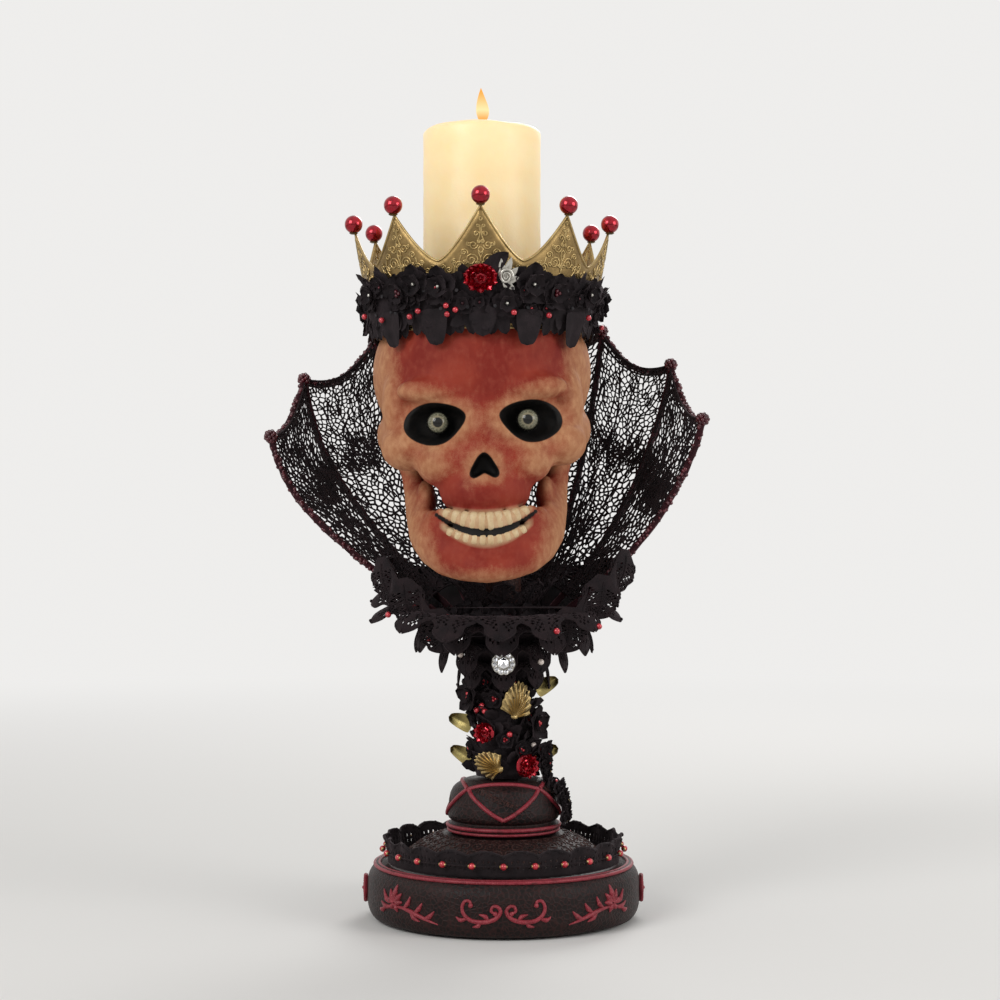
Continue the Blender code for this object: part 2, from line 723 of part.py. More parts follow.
def edge_share(azimuth):
    """How far up its bowl the scalloped edge runs at a growing azimuth."""
    ribs = full_azimuths()
    for a, b in zip(ribs, ribs[1:]):
        if a <= azimuth <= b:
            return 1 - SCALLOP_SAG * math.sin(math.pi * (azimuth - a) / (b - a)) ** 0.8
    return 1.0


def make_collar_frame():
    """Bent wires wrapped in cord: a hoop round the stem, eight ribs, a scalloped edge and a knob at each tip."""
    ring = [round_point(360 * i / HOOP_POINTS, HOOP_RADIUS, HOOP_HEIGHT) for i in range(HOOP_POINTS)]
    frame = as_mesh(tube("collar_frame", ring, RIB_RADIUS, RED_CORD, cyclic=True, sides=1))
    frame.data.materials.clear()
    frame.data.materials.append(RED_CORD)
    pieces = []
    ribs = full_azimuths()
    for i, azimuth in enumerate(ribs):
        points = [on_collar(signed(azimuth), t) for t in (0.0, 0.1, 0.28, 0.5, 0.75, 1.0)]
        pieces.append(as_mesh(tube(f"rib_{i}", points, RIB_RADIUS, sides=0, cutter=True)))
        knob = ball(f"knob_{i}", KNOB_RADIUS, 8, 5, cutter=True)
        knob.location = on_collar(signed(azimuth), 1.0)
        pieces.append(knob)
    line = []
    steps = 4
    for a, b in zip(ribs, ribs[1:]):
        for k in range(steps):
            azimuth = a + (b - a) * k / steps
            line.append(on_collar(signed(azimuth), edge_share(azimuth)))
    line.append(on_collar(signed(ribs[-1]), 1.0))
    pieces.append(as_mesh(tube("edging", line, EDGING_RADIUS, sides=1, cutter=True)))
    combine(frame, pieces, "UNION")


def make_collar_lace():
    """The net as a lattice of threads: an irregular grid stretched inside the frame, one gap for each cell."""
    rng = random.Random(7)
    ribs = full_azimuths()
    first, last = ribs[0] + 1.5, ribs[-1] - 1.5
    inward = (RIB_RADIUS + GAP + LACE_THICKNESS + CHORD_SAG) / 0.88
    bm = bmesh.new()
    rows = []
    for r in range(LACE_ROWS + 1):
        row = []
        for c in range(LACE_COLUMNS + 1):
            inside = 0 < r < LACE_ROWS and 0 < c < LACE_COLUMNS
            shift = (rng.uniform(-1, 1) * LACE_JITTER, rng.uniform(-1, 1) * LACE_JITTER) if inside else (0, 0)
            azimuth = first + (last - first) * (c + shift[0]) / LACE_COLUMNS
            top = edge_share(azimuth) - 0.030
            t = LACE_START + (top - LACE_START) * ((r + shift[1]) / LACE_ROWS)
            row.append(bm.verts.new(on_collar(signed(azimuth), t, inward)))
        rows.append(row)
    for low, high in zip(rows, rows[1:]):
        for c in range(LACE_COLUMNS):
            bm.faces.new((low[c], low[c + 1], high[c + 1], high[c]))
    lace = from_bmesh("collar_lace", bm, smooth=False, material=BLACK_LACE)
    lattice = lace.modifiers.new("threads", "WIREFRAME")
    lattice.thickness = LACE_THICKNESS
    lattice.use_boundary = True
    lattice.use_even_offset = True


# Neck ruff


def ruff_sheet(name, leaves, row_shares, point_at):
    """A round sheet cut into pointed leaves; point_at gives a point for an azimuth and a share."""
    bm = bmesh.new()
    columns = leaves * 2
    rows = []
    for share in row_shares:
        row = []
        for i in range(columns):
            azimuth = 360 * i / columns
            tooth = 1 - i % 2
            row.append(bm.verts.new(point_at(azimuth, share * (1 - RUFF_NOTCH * (1 - tooth) * share))))
        rows.append(row)
    for low, high in zip(rows, rows[1:]):
        for i in range(columns):
            j = (i + 1) % columns
            bm.faces.new((low[i], high[i], high[j], low[j]))
    sheet = from_bmesh(name, bm, material=BLACK_LACE)
    return thicken(sheet, CLOTH_THICKNESS)


def bowed(start, crest, tip, share):
    """A point on a soft bend from start over crest to tip."""
    a, b, c = (1 - share) ** 2, 2 * (1 - share) * share, share * share
    peak = [2 * crest[k] - 0.5 * (start[k] + tip[k]) for k in (0, 1)]
    return [a * start[k] + b * peak[k] + c * tip[k] for k in (0, 1)]


def make_ruffs():
    inner = STEM_RADIUS + GAP + CLOTH_THICKNESS
    for n, (drop, crest, tip, leaves) in enumerate(RUFF_TIERS, 2):
        foot = HOOP_HEIGHT - drop

        def point_at(azimuth, share, crest=crest, tip=tip, foot=foot):
            radius, rise = bowed((inner, 0), crest, tip, share)
            return round_point(azimuth, radius, foot + rise)

        ruff_sheet(f"neck_ruff_{n}", leaves, (0.0, 0.5, 1.0), point_at)

    crest, tip, leaves = INNER_RUFF
    foot = HOOP_HEIGHT + RIB_RADIUS + GAP + INNER_RUFF_RISE

    def frill(azimuth, share):
        radius, rise = bowed((inner, 0), crest, tip, share)
        return round_point(azimuth, radius, foot + rise)

    ruff_sheet("neck_ruff_inner", leaves, (0.0, 0.5, 1.0), frill)

    outset = -(RIB_RADIUS + GAP + CLOTH_THICKNESS * 0.6) / 0.88

    def under_collar(azimuth, share):
        front = 0.5 + 0.5 * math.cos(math.radians(azimuth))
        end = UPPER_RUFF_END - 0.12 * front**1.5
        t = UPPER_RUFF_START + (end - UPPER_RUFF_START) * share
        side = abs(signed(azimuth))
        droop = UPPER_RUFF_DROOP * share**2.5
        return on_collar(side * (1 if azimuth <= 180 else -1), t, outset) - Vector((0, 0, droop))

    ruff_sheet("neck_ruff_1", UPPER_RUFF_LEAVES, (0.0, 0.5, 1.0), under_collar)


def make_brooch():
    drop, _, tip, _ = RUFF_TIERS[1]
    height = HOOP_HEIGHT - drop + tip[1]
    place = outward(0, tip[0] + 0.35 * CLOTH_THICKNESS + GAP, height)
    lobed_dome("brooch", (BROOCH_RADIUS, BROOCH_RADIUS), BROOCH_DEPTH, 12, 0.14, 24, 4,
               material=CRYSTAL, matrix=place)
    stone_place = place @ Matrix.Translation((0, 0, BROOCH_DEPTH + GAP))
    lobed_dome("brooch_stone", (STONE_RADIUS, STONE_RADIUS), STONE_RADIUS * 0.6, 3, 0.2, 6, 4,
               material=CRYSTAL, matrix=stone_place)


# Skull


def skull_point(x, y, z):
    """Millimetres on the skull as drawn, 144 by 142 by 192, to metres at the size that is set."""
    fx, fy, fz = SKULL_FORM
    return Vector((x * fx, y * fy, z * fz)) / 1000


# Rounded masses of the skull: place of the middle and three radii, from the cranium's middle
SKULL_MASSES = (
    (0, 2, 0, 71, 70, 62),
    (0, -20, 10, 60, 48, 50),
    (0, 30, -14, 62, 42, 44),
    (0, -41, -34, 53, 28, 27),
    (0, -60, -38, 8, 11, 20),
    (0, -49, -76, 29, 24, 20),
    (0, -46, -58, 31, 25, 20),
    (0, -70, -125, 18, 9, 9),
)
PAIRED_MASSES = (
    (30, -55, -13, 24, 12, 9),
    (53, -34, -22, 11, 17, 24),
    (48, -42, -48, 17, 18, 15),
    (26, -52, -58, 17, 15, 16),
)
# Chains of masses from one end to the other, on the right side: ends and bends with their radii
ARCH_CHAIN = ((52, -38, -42, 11, 13, 12), (61, -18, -40, 7, 11, 12), (63, 6, -38, 7, 11, 12))
JAW_CHAIN = (
    (0, -65, -121, 13, 10, 13.5),
    (14, -64, -119, 12, 10, 14),
    (26, -57, -115, 11, 11, 14.5),
    (36, -45, -108, 9, 12, 15),
    (42, -31, -100, 8, 12, 15),
    (44, -15, -89, 8, 13, 14),
    (45, -5, -75, 8, 13, 14),
    (47, 1, -60, 8, 13, 14),
    (53, 2, -44, 8, 12, 12),
)
UPPER_TEETH_Z, LOWER_TEETH_Z = -96, -107
EYE_X, EYE_Z = 30, -34.5
NOSE_BACK = -60


def chain(stops, per_span):
    made = []
    for a, b in zip(stops, stops[1:]):
        for k in range(per_span):
            s = k / per_span
            made.append(tuple(p + (q - p) * s for p, q in zip(a, b)))
    made.append(stops[-1])
    return made


def tooth_row(z, height, width):
    """Ten teeth on a curved row, sagging in the middle like a smile."""
    row = []
    for i in range(10):
        x = (i - 4.5) * width
        y = -72 + 0.013 * x * x
        row.append((x, y, z + 0.008 * x * x, width * 0.66, 5.0, height * (1 - 0.0006 * x * x)))
    return row


def skull_masses():
    masses = list(SKULL_MASSES)
    for x, y, z, rx, ry, rz in list(PAIRED_MASSES) + chain(ARCH_CHAIN, 4) + chain(JAW_CHAIN, 3):
        masses += [(x, y, z, rx, ry, rz), (-x, y, z, rx, ry, rz)]
    masses += tooth_row(UPPER_TEETH_Z, 7.0, 6.3)
    masses += tooth_row(LOWER_TEETH_Z, 5.0, 5.8)
    return masses


def scaled_ball(name, middle, radii, segments=14, rings=9, parent=None):
    size = skull_point(*radii)
    cutter = ball(name, 1, segments, rings, cutter=True, parent=parent)
    cutter.matrix_local = Matrix.Translation(skull_point(*middle)) @ Matrix.Diagonal((*size, 1))
    return cutter


def mass_mesh(name, masses):
    """One mesh of many ellipsoids that overlap, each a copy of the same round ball."""
    bm = bmesh.new()
    bmesh.ops.create_uvsphere(bm, u_segments=20, v_segments=14, radius=1)
    ball_points = [v.co.copy() for v in bm.verts]
    ball_faces = [[v.index for v in f.verts] for f in bm.faces]
    bm.free()
    points, faces = [], []
    for x, y, z, rx, ry, rz in masses:
        start = len(points)
        middle, size = skull_point(x, y, z), skull_point(rx, ry, rz)
        points += [middle + Vector((p.x * size.x, p.y * size.y, p.z * size.z)) for p in ball_points]
        faces += [[start + i for i in face] for face in ball_faces]
    mesh = bpy.data.meshes.new(name)
    mesh.from_pydata(points, [], faces)
    return mesh


def make_skull():
    tilt = Matrix.Translation((0, 0, SKULL_CENTRE)) @ Matrix.Rotation(math.radians(HEAD_TILT), 4, "Y")
    form = bpy.data.objects.new("skull", mass_mesh("skull", skull_masses()))
    skull = keep(form, BONE_RED, HEAD, tilt)
    joined = skull.modifiers.new("one_casting", "REMESH")
    joined.mode = "VOXEL"
    joined.voxel_size = SKULL_VOXEL
    joined.use_smooth_shade = True
    soft = skull.modifiers.new("softened", "SMOOTH")
    soft.factor = 0.5
    soft.iterations = 5
    fewer = skull.modifiers.new("fewer_faces", "DECIMATE")
    fewer.ratio = SKULL_KEEP
    cut_skull(skull)
    make_eyes(skull)


def nose_cutter(skull):
    """A prism of an inverted heart, cut straight back into the face."""
    half = ((0, -53.5), (3.2, -55.5), (6.2, -60), (8.8, -65), (8.6, -68), (6, -69), (2.6, -67.2), (0, -66))
    outline = list(half) + [(-x, z) for x, z in reversed(half[1:-1])]
    bm = bmesh.new()
    back = bm.faces.new([bm.verts.new(skull_point(x, NOSE_BACK, z)) for x, z in outline])
    front = bmesh.ops.extrude_face_region(bm, geom=[back])["geom"]
    moved = [v for v in front if isinstance(v, bmesh.types.BMVert)]
    bmesh.ops.translate(bm, verts=moved, vec=skull_point(0, -40, 0))
    bmesh.ops.recalc_face_normals(bm, faces=bm.faces)
    return from_bmesh("nose_cut", bm, smooth=False, cutter=True, parent=skull)


def cut_skull(skull):
    sockets = [
        scaled_ball(f"socket_{side + 1}", (side * EYE_X, -63, EYE_Z), (19.4, SOCKET_DEPTH * 1000, 13.2), 20, 12, skull)
        for side in (-1, 1)
    ]
    combine(skull, [as_mesh(s) for s in sockets], "DIFFERENCE")
    combine(skull, [nose_cutter(skull)], "DIFFERENCE")
    line, swell = [], []
    for i in range(11):
        x = (i - 5) * 6.2
        line.append(skull_point(x, -77.5 + 0.0135 * x * x, -102 + 0.0118 * x * x))
        swell.append(1.0 - 0.6 * abs(i - 5) / 5)
    slit = tube("mouth_line", line, 0.0024, swell=swell, cutter=True, parent=skull, sides=1)
    combine(skull, [as_mesh(slit)], "DIFFERENCE")
    cut = CROWN_CUT * SKULL_FORM[2]
    lid = SKULL_HEIGHT
    seat = SKULL_CENTRE + cut
    flat = turned("top_cut", [(0, seat + lid), (lid, seat + lid), (lid, seat), (0, seat)], cutter=True,
                  parent=HEAD, steps=12)
    combine(skull, [as_mesh(flat)], "DIFFERENCE")
    socket = STEM_RADIUS + GAP
    top = STEM_TOP + GAP
    rod = ROD_RADIUS + GAP
    rod_top = STEM_TOP + ROD_ABOVE_STEM + GAP
    hole = turned(
        "stem_socket",
        [
            (0, rod_top),
            (rod, rod_top),
            (rod, top),
            (socket, top),
            (socket, top - SKULL_HEIGHT),
            (0, top - SKULL_HEIGHT),
        ],
        cutter=True,
        steps=24,
    )
    combine(skull, [as_mesh(hole)], "DIFFERENCE")


def make_eyes(skull):
    """Glass balls that lie at the back of the sockets."""
    for name, side in (("glass_eye_left", -1), ("glass_eye_right", 1)):
        back = -63 * SKULL_FORM[1] / 1000 + SOCKET_DEPTH * SKULL_FORM[1] - GAP - EYE_RADIUS - EYE_BEDDING
        eye = ball(name, EYE_RADIUS, 12, 8, material=GLASS, parent=skull)
        middle = skull_point(side * (EYE_X - 2), 0, EYE_Z + 1)
        eye.matrix_local = Matrix.Translation((middle.x, back, middle.z))


# Tray, crown, wreath and candle


def crown_radius(height):
    return CROWN_BOTTOM_RADIUS + CROWN_SLOPE * (height - CROWN_BOTTOM)


def make_tray():
    wall = SHEET_THICKNESS / 2 + GAP
    rim = TRAY_TOP + TRAY_RIM
    outer = crown_radius(TRAY_BOTTOM) - wall - GAP
    top_outer = crown_radius(rim) - wall - GAP
    profile = [
        (0, TRAY_TOP),
        (outer - TRAY_THICKNESS - 0.002, TRAY_TOP),
        (top_outer - TRAY_THICKNESS, rim),
        (top_outer, rim),
        (outer, TRAY_BOTTOM),
        (0, TRAY_BOTTOM),
    ]
    turned("candle_tray", profile, ANTIQUE_GOLD, steps=32, parent=HEAD)


def crown_top(azimuth):
    """Height of the line that the crown's tips lie on: the band is bent, so the side points are lower."""
    return CROWN_BOTTOM + CROWN_HEIGHT - CROWN_SIDE_DROP * math.sin(math.radians(azimuth)) ** 2


def make_crown():
    """One flared sheet: a plain band below, nine points with hollow sides above."""
    bm = bmesh.new()
    columns = CROWN_POINTS * CROWN_COLUMNS
    shoulder = CROWN_BOTTOM + CROWN_VALLEY * 0.94
    rows = []
    for r in range(4):
        row = []
        for i in range(columns):
            azimuth = 360 * i / columns
            across = abs(((i / CROWN_COLUMNS + 0.5) % 1) - 0.5) * 2
            nearest = 360 * round(i / CROWN_COLUMNS) / CROWN_POINTS
            valley = CROWN_BOTTOM + CROWN_VALLEY
            top = valley + (crown_top(nearest) - valley) * (1 - across) ** 1.5
            height = (CROWN_BOTTOM, shoulder, 0.5 * (shoulder + top), top)[r]
            row.append(bm.verts.new(round_point(azimuth, crown_radius(height), height)))
        rows.append(row)
    for low, high in zip(rows, rows[1:]):
        for i in range(columns):
            j = (i + 1) % columns
            bm.faces.new((low[i], low[j], high[j], high[i]))
    crown = from_bmesh("crown", bm, material=ANTIQUE_GOLD, parent=HEAD)
    thicken(crown, SHEET_THICKNESS)
    for i in range(CROWN_POINTS):
        azimuth = 360 * i / CROWN_POINTS
        centre = crown_top(azimuth) + GAP + BALL_RADIUS * 0.99
        place = Matrix.Translation(round_point(azimuth, crown_radius(centre), centre))
        ball(f"crown_ball_{i + 1}", BALL_RADIUS, material=RED_METAL, parent=HEAD, matrix=place)


def wreath_place(azimuth, height):
    """Where a piece lies flat on the wreath's fullest surface, leaning with the crown's flare."""
    seat = crown_radius(height) + SHEET_THICKNESS / 2 + 2 * GAP + WREATH_THICKNESS
    flare = math.atan(CROWN_SLOPE)
    return outward(azimuth, seat + GAP / math.cos(flare), height, math.degrees(flare))


def make_wreath():
    """The band of dark foliage round the crown's foot, with flowers, leaves and a red rosette."""
    low = CROWN_BOTTOM + WREATH_FROM_BOTTOM
    high = low + WREATH_HEIGHT
    middle = 0.5 * (low + high)
    inner = SHEET_THICKNESS / 2 + GAP + crown_radius(high) * (1 / math.cos(math.pi / WREATH_STEPS) - 1)
    outer = []
    for share, puff in ((1.0, 0.45), (0.9, 0.95), (0.66, 0.80), (0.5, 1.0), (0.3, 0.80), (0.1, 0.95), (0.0, 0.45)):
        height = low + WREATH_HEIGHT * share
        outer.append((crown_radius(height) + inner + WREATH_THICKNESS * puff, height))
    profile = outer + [(crown_radius(low) + inner, low), (crown_radius(high) + inner, high)]
    turned("crown_wreath", profile, BLACK_CLOTH, steps=WREATH_STEPS, parent=HEAD)

    for i, azimuth in enumerate((-40, 36, 100, 180, -105), 1):
        lobed_dome(f"wreath_flower_{i}", (FLOWER_RADIUS, FLOWER_RADIUS), FLOWER_DEPTH, 5, 0.34, 15, 4,
                   material=BLACK_CLOTH, parent=HEAD, matrix=wreath_place(azimuth, middle + 0.004))
    for i, azimuth in enumerate((-55, -18, 18, 55), 1):
        place = wreath_place(azimuth, low + 0.009) @ Matrix.Translation((0, 0, LEAF_THICKNESS / 2))
        leaf(f"wreath_leaf_{i}", WREATH_LEAF, WREATH_LEAF * 0.55, LEAF_THICKNESS, material=BLACK_CLOTH,
             parent=HEAD, matrix=place @ Matrix.Rotation(math.pi, 4, "Z"))
    lobed_dome("crown_rosette", (ROSETTE_RADIUS * 1.25, ROSETTE_RADIUS), ROSETTE_DEPTH, 8, 0.14, 16, 5,
               material=RED_METAL, parent=HEAD, matrix=wreath_place(0, high - 0.003))


def make_candle():
    edge = CANDLE_EDGE
    hole = WICK_RADIUS + GAP
    low = CANDLE_TOP - WICK_HOLE_DEPTH
    turned(
        "candle",
        [
            (0, low),
            (hole, low),
            (hole, CANDLE_TOP - edge * 0.6),
            (CANDLE_RADIUS * 0.75, CANDLE_TOP - edge * 0.5),
            (CANDLE_RADIUS - edge * 1.2, CANDLE_TOP),
            (CANDLE_RADIUS - edge * 0.3, CANDLE_TOP - edge * 0.2),
            (CANDLE_RADIUS, CANDLE_TOP - edge),
            (CANDLE_RADIUS, CANDLE_BOTTOM),
            (0, CANDLE_BOTTOM),
        ],
        WAX,
        steps=32,
        parent=HEAD,
    )
    bottom = low + GAP
    lean = WICK_HEIGHT * 0.16
    points = [(0, 0, bottom), (0, 0, CANDLE_TOP), (0, 0, CANDLE_TOP + WICK_HEIGHT * 0.6),
              (lean, 0, CANDLE_TOP + WICK_HEIGHT)]
    tube("wick", points, WICK_RADIUS, CHAR, sides=1, parent=HEAD)


make_felt()
make_base()
make_medallions()
make_fixings()
make_ruffle()
make_bead_string()
make_pedestal()
make_strand()
make_stem()
make_garland()
make_stem_dressing()
make_collar_frame()
make_collar_lace()
make_ruffs()
make_brooch()
make_skull()
make_tray()
make_crown()
make_wreath()
make_candle()
apply_waiting()
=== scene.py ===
# %% [markdown]
# # A crowned skull candle holder
# The real thing is a table piece about half a metre tall: a cast base and bell, a post wound with
# a dark garland, a lace ruff and collar, a painted skull with glass eyes, and a sheet metal crown
# that hides the tray of a pillar candle. The solid model is loaded first and stays as it is.
# Everything below either gives one of its pieces a better finish or stands in for it in finer form.

# %% Load the frame and measure it
import json
import math
import random

import bmesh
import bpy
import numpy as np
from mathutils import Matrix, Vector
from mathutils.geometry import delaunay_2d_cdt

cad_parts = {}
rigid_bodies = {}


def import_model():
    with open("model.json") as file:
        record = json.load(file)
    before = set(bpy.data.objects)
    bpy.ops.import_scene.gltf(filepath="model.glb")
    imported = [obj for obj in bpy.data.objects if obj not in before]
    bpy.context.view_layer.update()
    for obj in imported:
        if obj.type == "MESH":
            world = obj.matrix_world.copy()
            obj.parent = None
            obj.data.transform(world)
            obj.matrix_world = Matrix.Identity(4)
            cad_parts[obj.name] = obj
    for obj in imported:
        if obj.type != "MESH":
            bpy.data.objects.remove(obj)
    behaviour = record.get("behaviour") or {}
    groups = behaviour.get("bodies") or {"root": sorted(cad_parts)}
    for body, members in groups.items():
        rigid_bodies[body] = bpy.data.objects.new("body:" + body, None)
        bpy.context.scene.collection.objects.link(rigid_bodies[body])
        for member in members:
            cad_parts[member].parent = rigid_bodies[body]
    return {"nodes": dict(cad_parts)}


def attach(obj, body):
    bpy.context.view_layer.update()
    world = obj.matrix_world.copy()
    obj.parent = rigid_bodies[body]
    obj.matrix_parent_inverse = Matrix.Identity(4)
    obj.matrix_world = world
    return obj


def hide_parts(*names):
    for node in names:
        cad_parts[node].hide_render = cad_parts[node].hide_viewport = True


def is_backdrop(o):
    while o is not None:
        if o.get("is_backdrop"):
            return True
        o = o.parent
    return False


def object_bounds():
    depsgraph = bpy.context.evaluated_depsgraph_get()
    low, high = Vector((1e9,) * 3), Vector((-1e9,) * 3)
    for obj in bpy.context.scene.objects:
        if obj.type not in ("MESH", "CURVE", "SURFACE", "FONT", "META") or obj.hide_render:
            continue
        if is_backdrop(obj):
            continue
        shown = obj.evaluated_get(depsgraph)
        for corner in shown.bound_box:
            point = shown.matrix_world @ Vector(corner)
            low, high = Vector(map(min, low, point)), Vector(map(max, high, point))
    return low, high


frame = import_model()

cad_box = [[float(v) for v in corner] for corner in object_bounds()]
print("solid model's box:", cad_box)

# %% [markdown]
# ## Camera, floor and light
# The photograph was taken from about 1.4 m away, level with the mouth, with a portrait lens. The
# real picture is lit by the candle alone, but a part for a library is shown in plain, soft light,
# so that each colour can be judged. One way is an image of a studio wrapped round the scene. Here
# three large soft lamps and a pale sky are enough. The floor is a plain disc that fades into the
# sky with distance, so that no horizon cuts through the picture.

# %% Camera at the photograph's viewing angle
camera = bpy.data.objects.new("photo_camera", bpy.data.cameras.new("photo_camera"))
bpy.context.scene.collection.objects.link(camera)
camera.location = (0, -1.37, 0.255)
camera.rotation_euler = (math.radians(90), 0, 0)
camera.data.sensor_width = 36
camera.data.lens = 75.96
camera.data.shift_x = -0.0035
camera.data.shift_y = 0.023
bpy.context.scene.camera = camera
bpy.context.scene.view_settings.view_transform = "Standard"
print("camera", tuple(camera.location), "lens", camera.data.lens)

# %% Three soft lamps
def soft_lamp(name, place, size, watts, tint=(1, 1, 1)):
    """A large square lamp that faces the skull."""
    lamp = bpy.data.objects.new(name, bpy.data.lights.new(name, "AREA"))
    lamp.data.size = size
    lamp.data.energy = watts
    lamp.data.color = tint
    lamp.location = place
    lamp.rotation_euler = (Vector((0, 0, 0.28)) - lamp.location).to_track_quat("-Z", "Y").to_euler()
    bpy.context.scene.collection.objects.link(lamp)


soft_lamp("lamp_left", (-1.3, -1.5, 1.3), 1.1, 22)
soft_lamp("lamp_right", (1.6, -0.9, 0.8), 1.0, 12)
soft_lamp("lamp_behind", (0.5, 1.7, 1.5), 1.0, 18)

# %% Pale sky and floor
SKY_COLOUR, SKY_GLOW = (1.0, 0.99, 0.975, 1), 0.86
FLOOR_RADIUS = 12


def shader_node(tree, kind, *values, **settings):
    """A node of that kind; values fill its first sockets, as numbers or as links."""
    made = tree.nodes.new(kind)
    for name, value in settings.items():
        setattr(made, name, value)
    for socket, value in zip(made.inputs, values):
        if isinstance(value, bpy.types.NodeSocket):
            tree.links.new(value, socket)
        else:
            socket.default_value = value
    return made


world = bpy.data.worlds.new("pale_sky")
bpy.context.scene.world = world
world.use_nodes = True
sky = world.node_tree
ray = shader_node(sky, "ShaderNodeLightPath").outputs
mirrored = shader_node(sky, "ShaderNodeMath", ray["Is Glossy Ray"], ray["Is Transmission Ray"], operation="MAXIMUM")
seen = shader_node(sky, "ShaderNodeMath", ray["Is Camera Ray"], mirrored.outputs[0], operation="MAXIMUM")
strength = shader_node(sky, "ShaderNodeMapRange", seen.outputs[0], 0.0, 1.0, 0.38, SKY_GLOW)
sky.nodes["Background"].inputs["Color"].default_value = SKY_COLOUR
sky.links.new(strength.outputs[0], sky.nodes["Background"].inputs["Strength"])

floor_mesh = bpy.data.meshes.new("floor")
around = [(FLOOR_RADIUS * math.cos(i * math.pi / 48), FLOOR_RADIUS * math.sin(i * math.pi / 48), 0) for i in range(96)]
floor_mesh.from_pydata(around, [], [tuple(range(96))])
floor = bpy.data.objects.new("floor", floor_mesh)
bpy.context.scene.collection.objects.link(floor)
floor_paint = bpy.data.materials.new("floor_paper")
floor_paint.use_nodes = True
paper = floor_paint.node_tree
card = paper.nodes["Principled BSDF"]
card.inputs["Base Color"].default_value = (0.80, 0.79, 0.77, 1)
card.inputs["Roughness"].default_value = 0.9
haze = shader_node(paper, "ShaderNodeEmission", SKY_COLOUR, SKY_GLOW)
spot = shader_node(paper, "ShaderNodeTexCoord").outputs["Object"]
far = shader_node(paper, "ShaderNodeVectorMath", spot, operation="LENGTH")
fade = shader_node(paper, "ShaderNodeMapRange", far.outputs["Value"], 0.35, 2.2, interpolation_type="SMOOTHSTEP")
by_camera = shader_node(paper, "ShaderNodeLightPath").outputs["Is Camera Ray"]
for_camera = shader_node(paper, "ShaderNodeMath", fade.outputs[0], by_camera, operation="MULTIPLY")
faded = shader_node(paper, "ShaderNodeMixShader", for_camera.outputs[0], card.outputs[0], haze.outputs[0])
paper.links.new(faded.outputs[0], paper.nodes["Material Output"].inputs["Surface"])
floor_mesh.materials.append(floor_paint)
floor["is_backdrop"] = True
print("floor and sky are ready")

# %% [markdown]
# ## Mixing finishes
# A real finish is never one flat colour: paint pools in hollows, wears off edges, and cloth has a
# nap. Each finish here is one Principled shader fed by noise that is measured in metres, so the
# grain has its real size on every piece. A picture texture would need unwrapping for each mesh.
# A small class keeps the node work short: it makes a noise, blends two colours, and adds a relief.

# %% A small bench for mixing a finish
class Finish:
    """One Principled shader, and the nodes that feed it."""

    def __init__(self, name, metallic=0.0, **gloss):
        self.material = bpy.data.materials.new(name)
        self.material.use_nodes = True
        self.tree = self.material.node_tree
        self.shader = self.tree.nodes["Principled BSDF"]
        self.shader.inputs["Metallic"].default_value = metallic
        for socket, value in gloss.items():
            self.shader.inputs[socket.replace("_", " ")].default_value = value
        self.spot = self.tree.nodes.new("ShaderNodeTexCoord").outputs["Object"]

    def node(self, kind, **inputs):
        made = self.tree.nodes.new(kind)
        for socket, value in inputs.items():
            self.feed(made.inputs[socket.replace("_", " ")], value)
        return made

    def feed(self, socket, value):
        """Sets a socket to a number or colour, or links another node's output to it."""
        if isinstance(value, bpy.types.NodeSocket):
            self.tree.links.new(value, socket)
        elif isinstance(value, tuple) and len(value) == 3 and socket.type == "RGBA":
            socket.default_value = (*value, 1)
        else:
            socket.default_value = value

    def grain(self, scale, detail=4.0, stretch=(1, 1, 1)):
        """Noise whose spots are about 1 / scale metres wide."""
        spread = self.node("ShaderNodeMapping", Vector=self.spot, Scale=stretch)
        noise = self.node("ShaderNodeTexNoise", Vector=spread.outputs[0], Scale=scale, Detail=detail)
        return noise.outputs["Fac"]

    def between(self, value, low, high, start=0.0, end=1.0):
        """Where value lies from low to high, as a number from start to end."""
        spread = self.node("ShaderNodeMapRange", Value=value, From_Min=low, From_Max=high, To_Min=start, To_Max=end)
        return spread.outputs[0]

    def sum(self, first, second, how="ADD"):
        maths = self.tree.nodes.new("ShaderNodeMath")
        maths.operation = how
        self.feed(maths.inputs[0], first)
        self.feed(maths.inputs[1], second)
        return maths.outputs[0]

    def blend(self, share, first, second):
        mix = self.tree.nodes.new("ShaderNodeMix")
        mix.data_type = "RGBA"
        for index, value in ((0, share), (6, first), (7, second)):
            self.feed(mix.inputs[index], value)
        return mix.outputs[2]

    def edges(self, low=0.50, high=0.58):
        """Near 1 on ridges and near 0 in hollows."""
        return self.between(self.node("ShaderNodeNewGeometry").outputs["Pointiness"], low, high)

    def height(self):
        """How high the painted spot lies."""
        return self.node("ShaderNodeSeparateXYZ", Vector=self.spot).outputs[2]

    def written(self, name):
        """A number that was written on the mesh, point by point."""
        note = self.tree.nodes.new("ShaderNodeAttribute")
        note.attribute_name = name
        return note.outputs["Fac"]

    def done(self, colour, roughness, relief=None, depth=0.0002, strength=1.0):
        self.feed(self.shader.inputs["Base Color"], colour)
        self.feed(self.shader.inputs["Roughness"], roughness)
        if relief is not None:
            bump = self.node("ShaderNodeBump", Height=relief, Distance=depth, Strength=strength)
            self.tree.links.new(bump.outputs[0], self.shader.inputs["Normal"])
        return self.material


print("the bench for finishes is ready")

# %% [markdown]
# ## The finishes
# Black resin with a brown cast is the base's paint, and its reliefs were brushed over with dark
# red, so that only the high lines took the colour. The dressing is black velvet, which is darkest
# when seen straight on and pale along its edges: that is what sheen does. The crown is antique
# gold: a metal with dark wax left in its hollows.

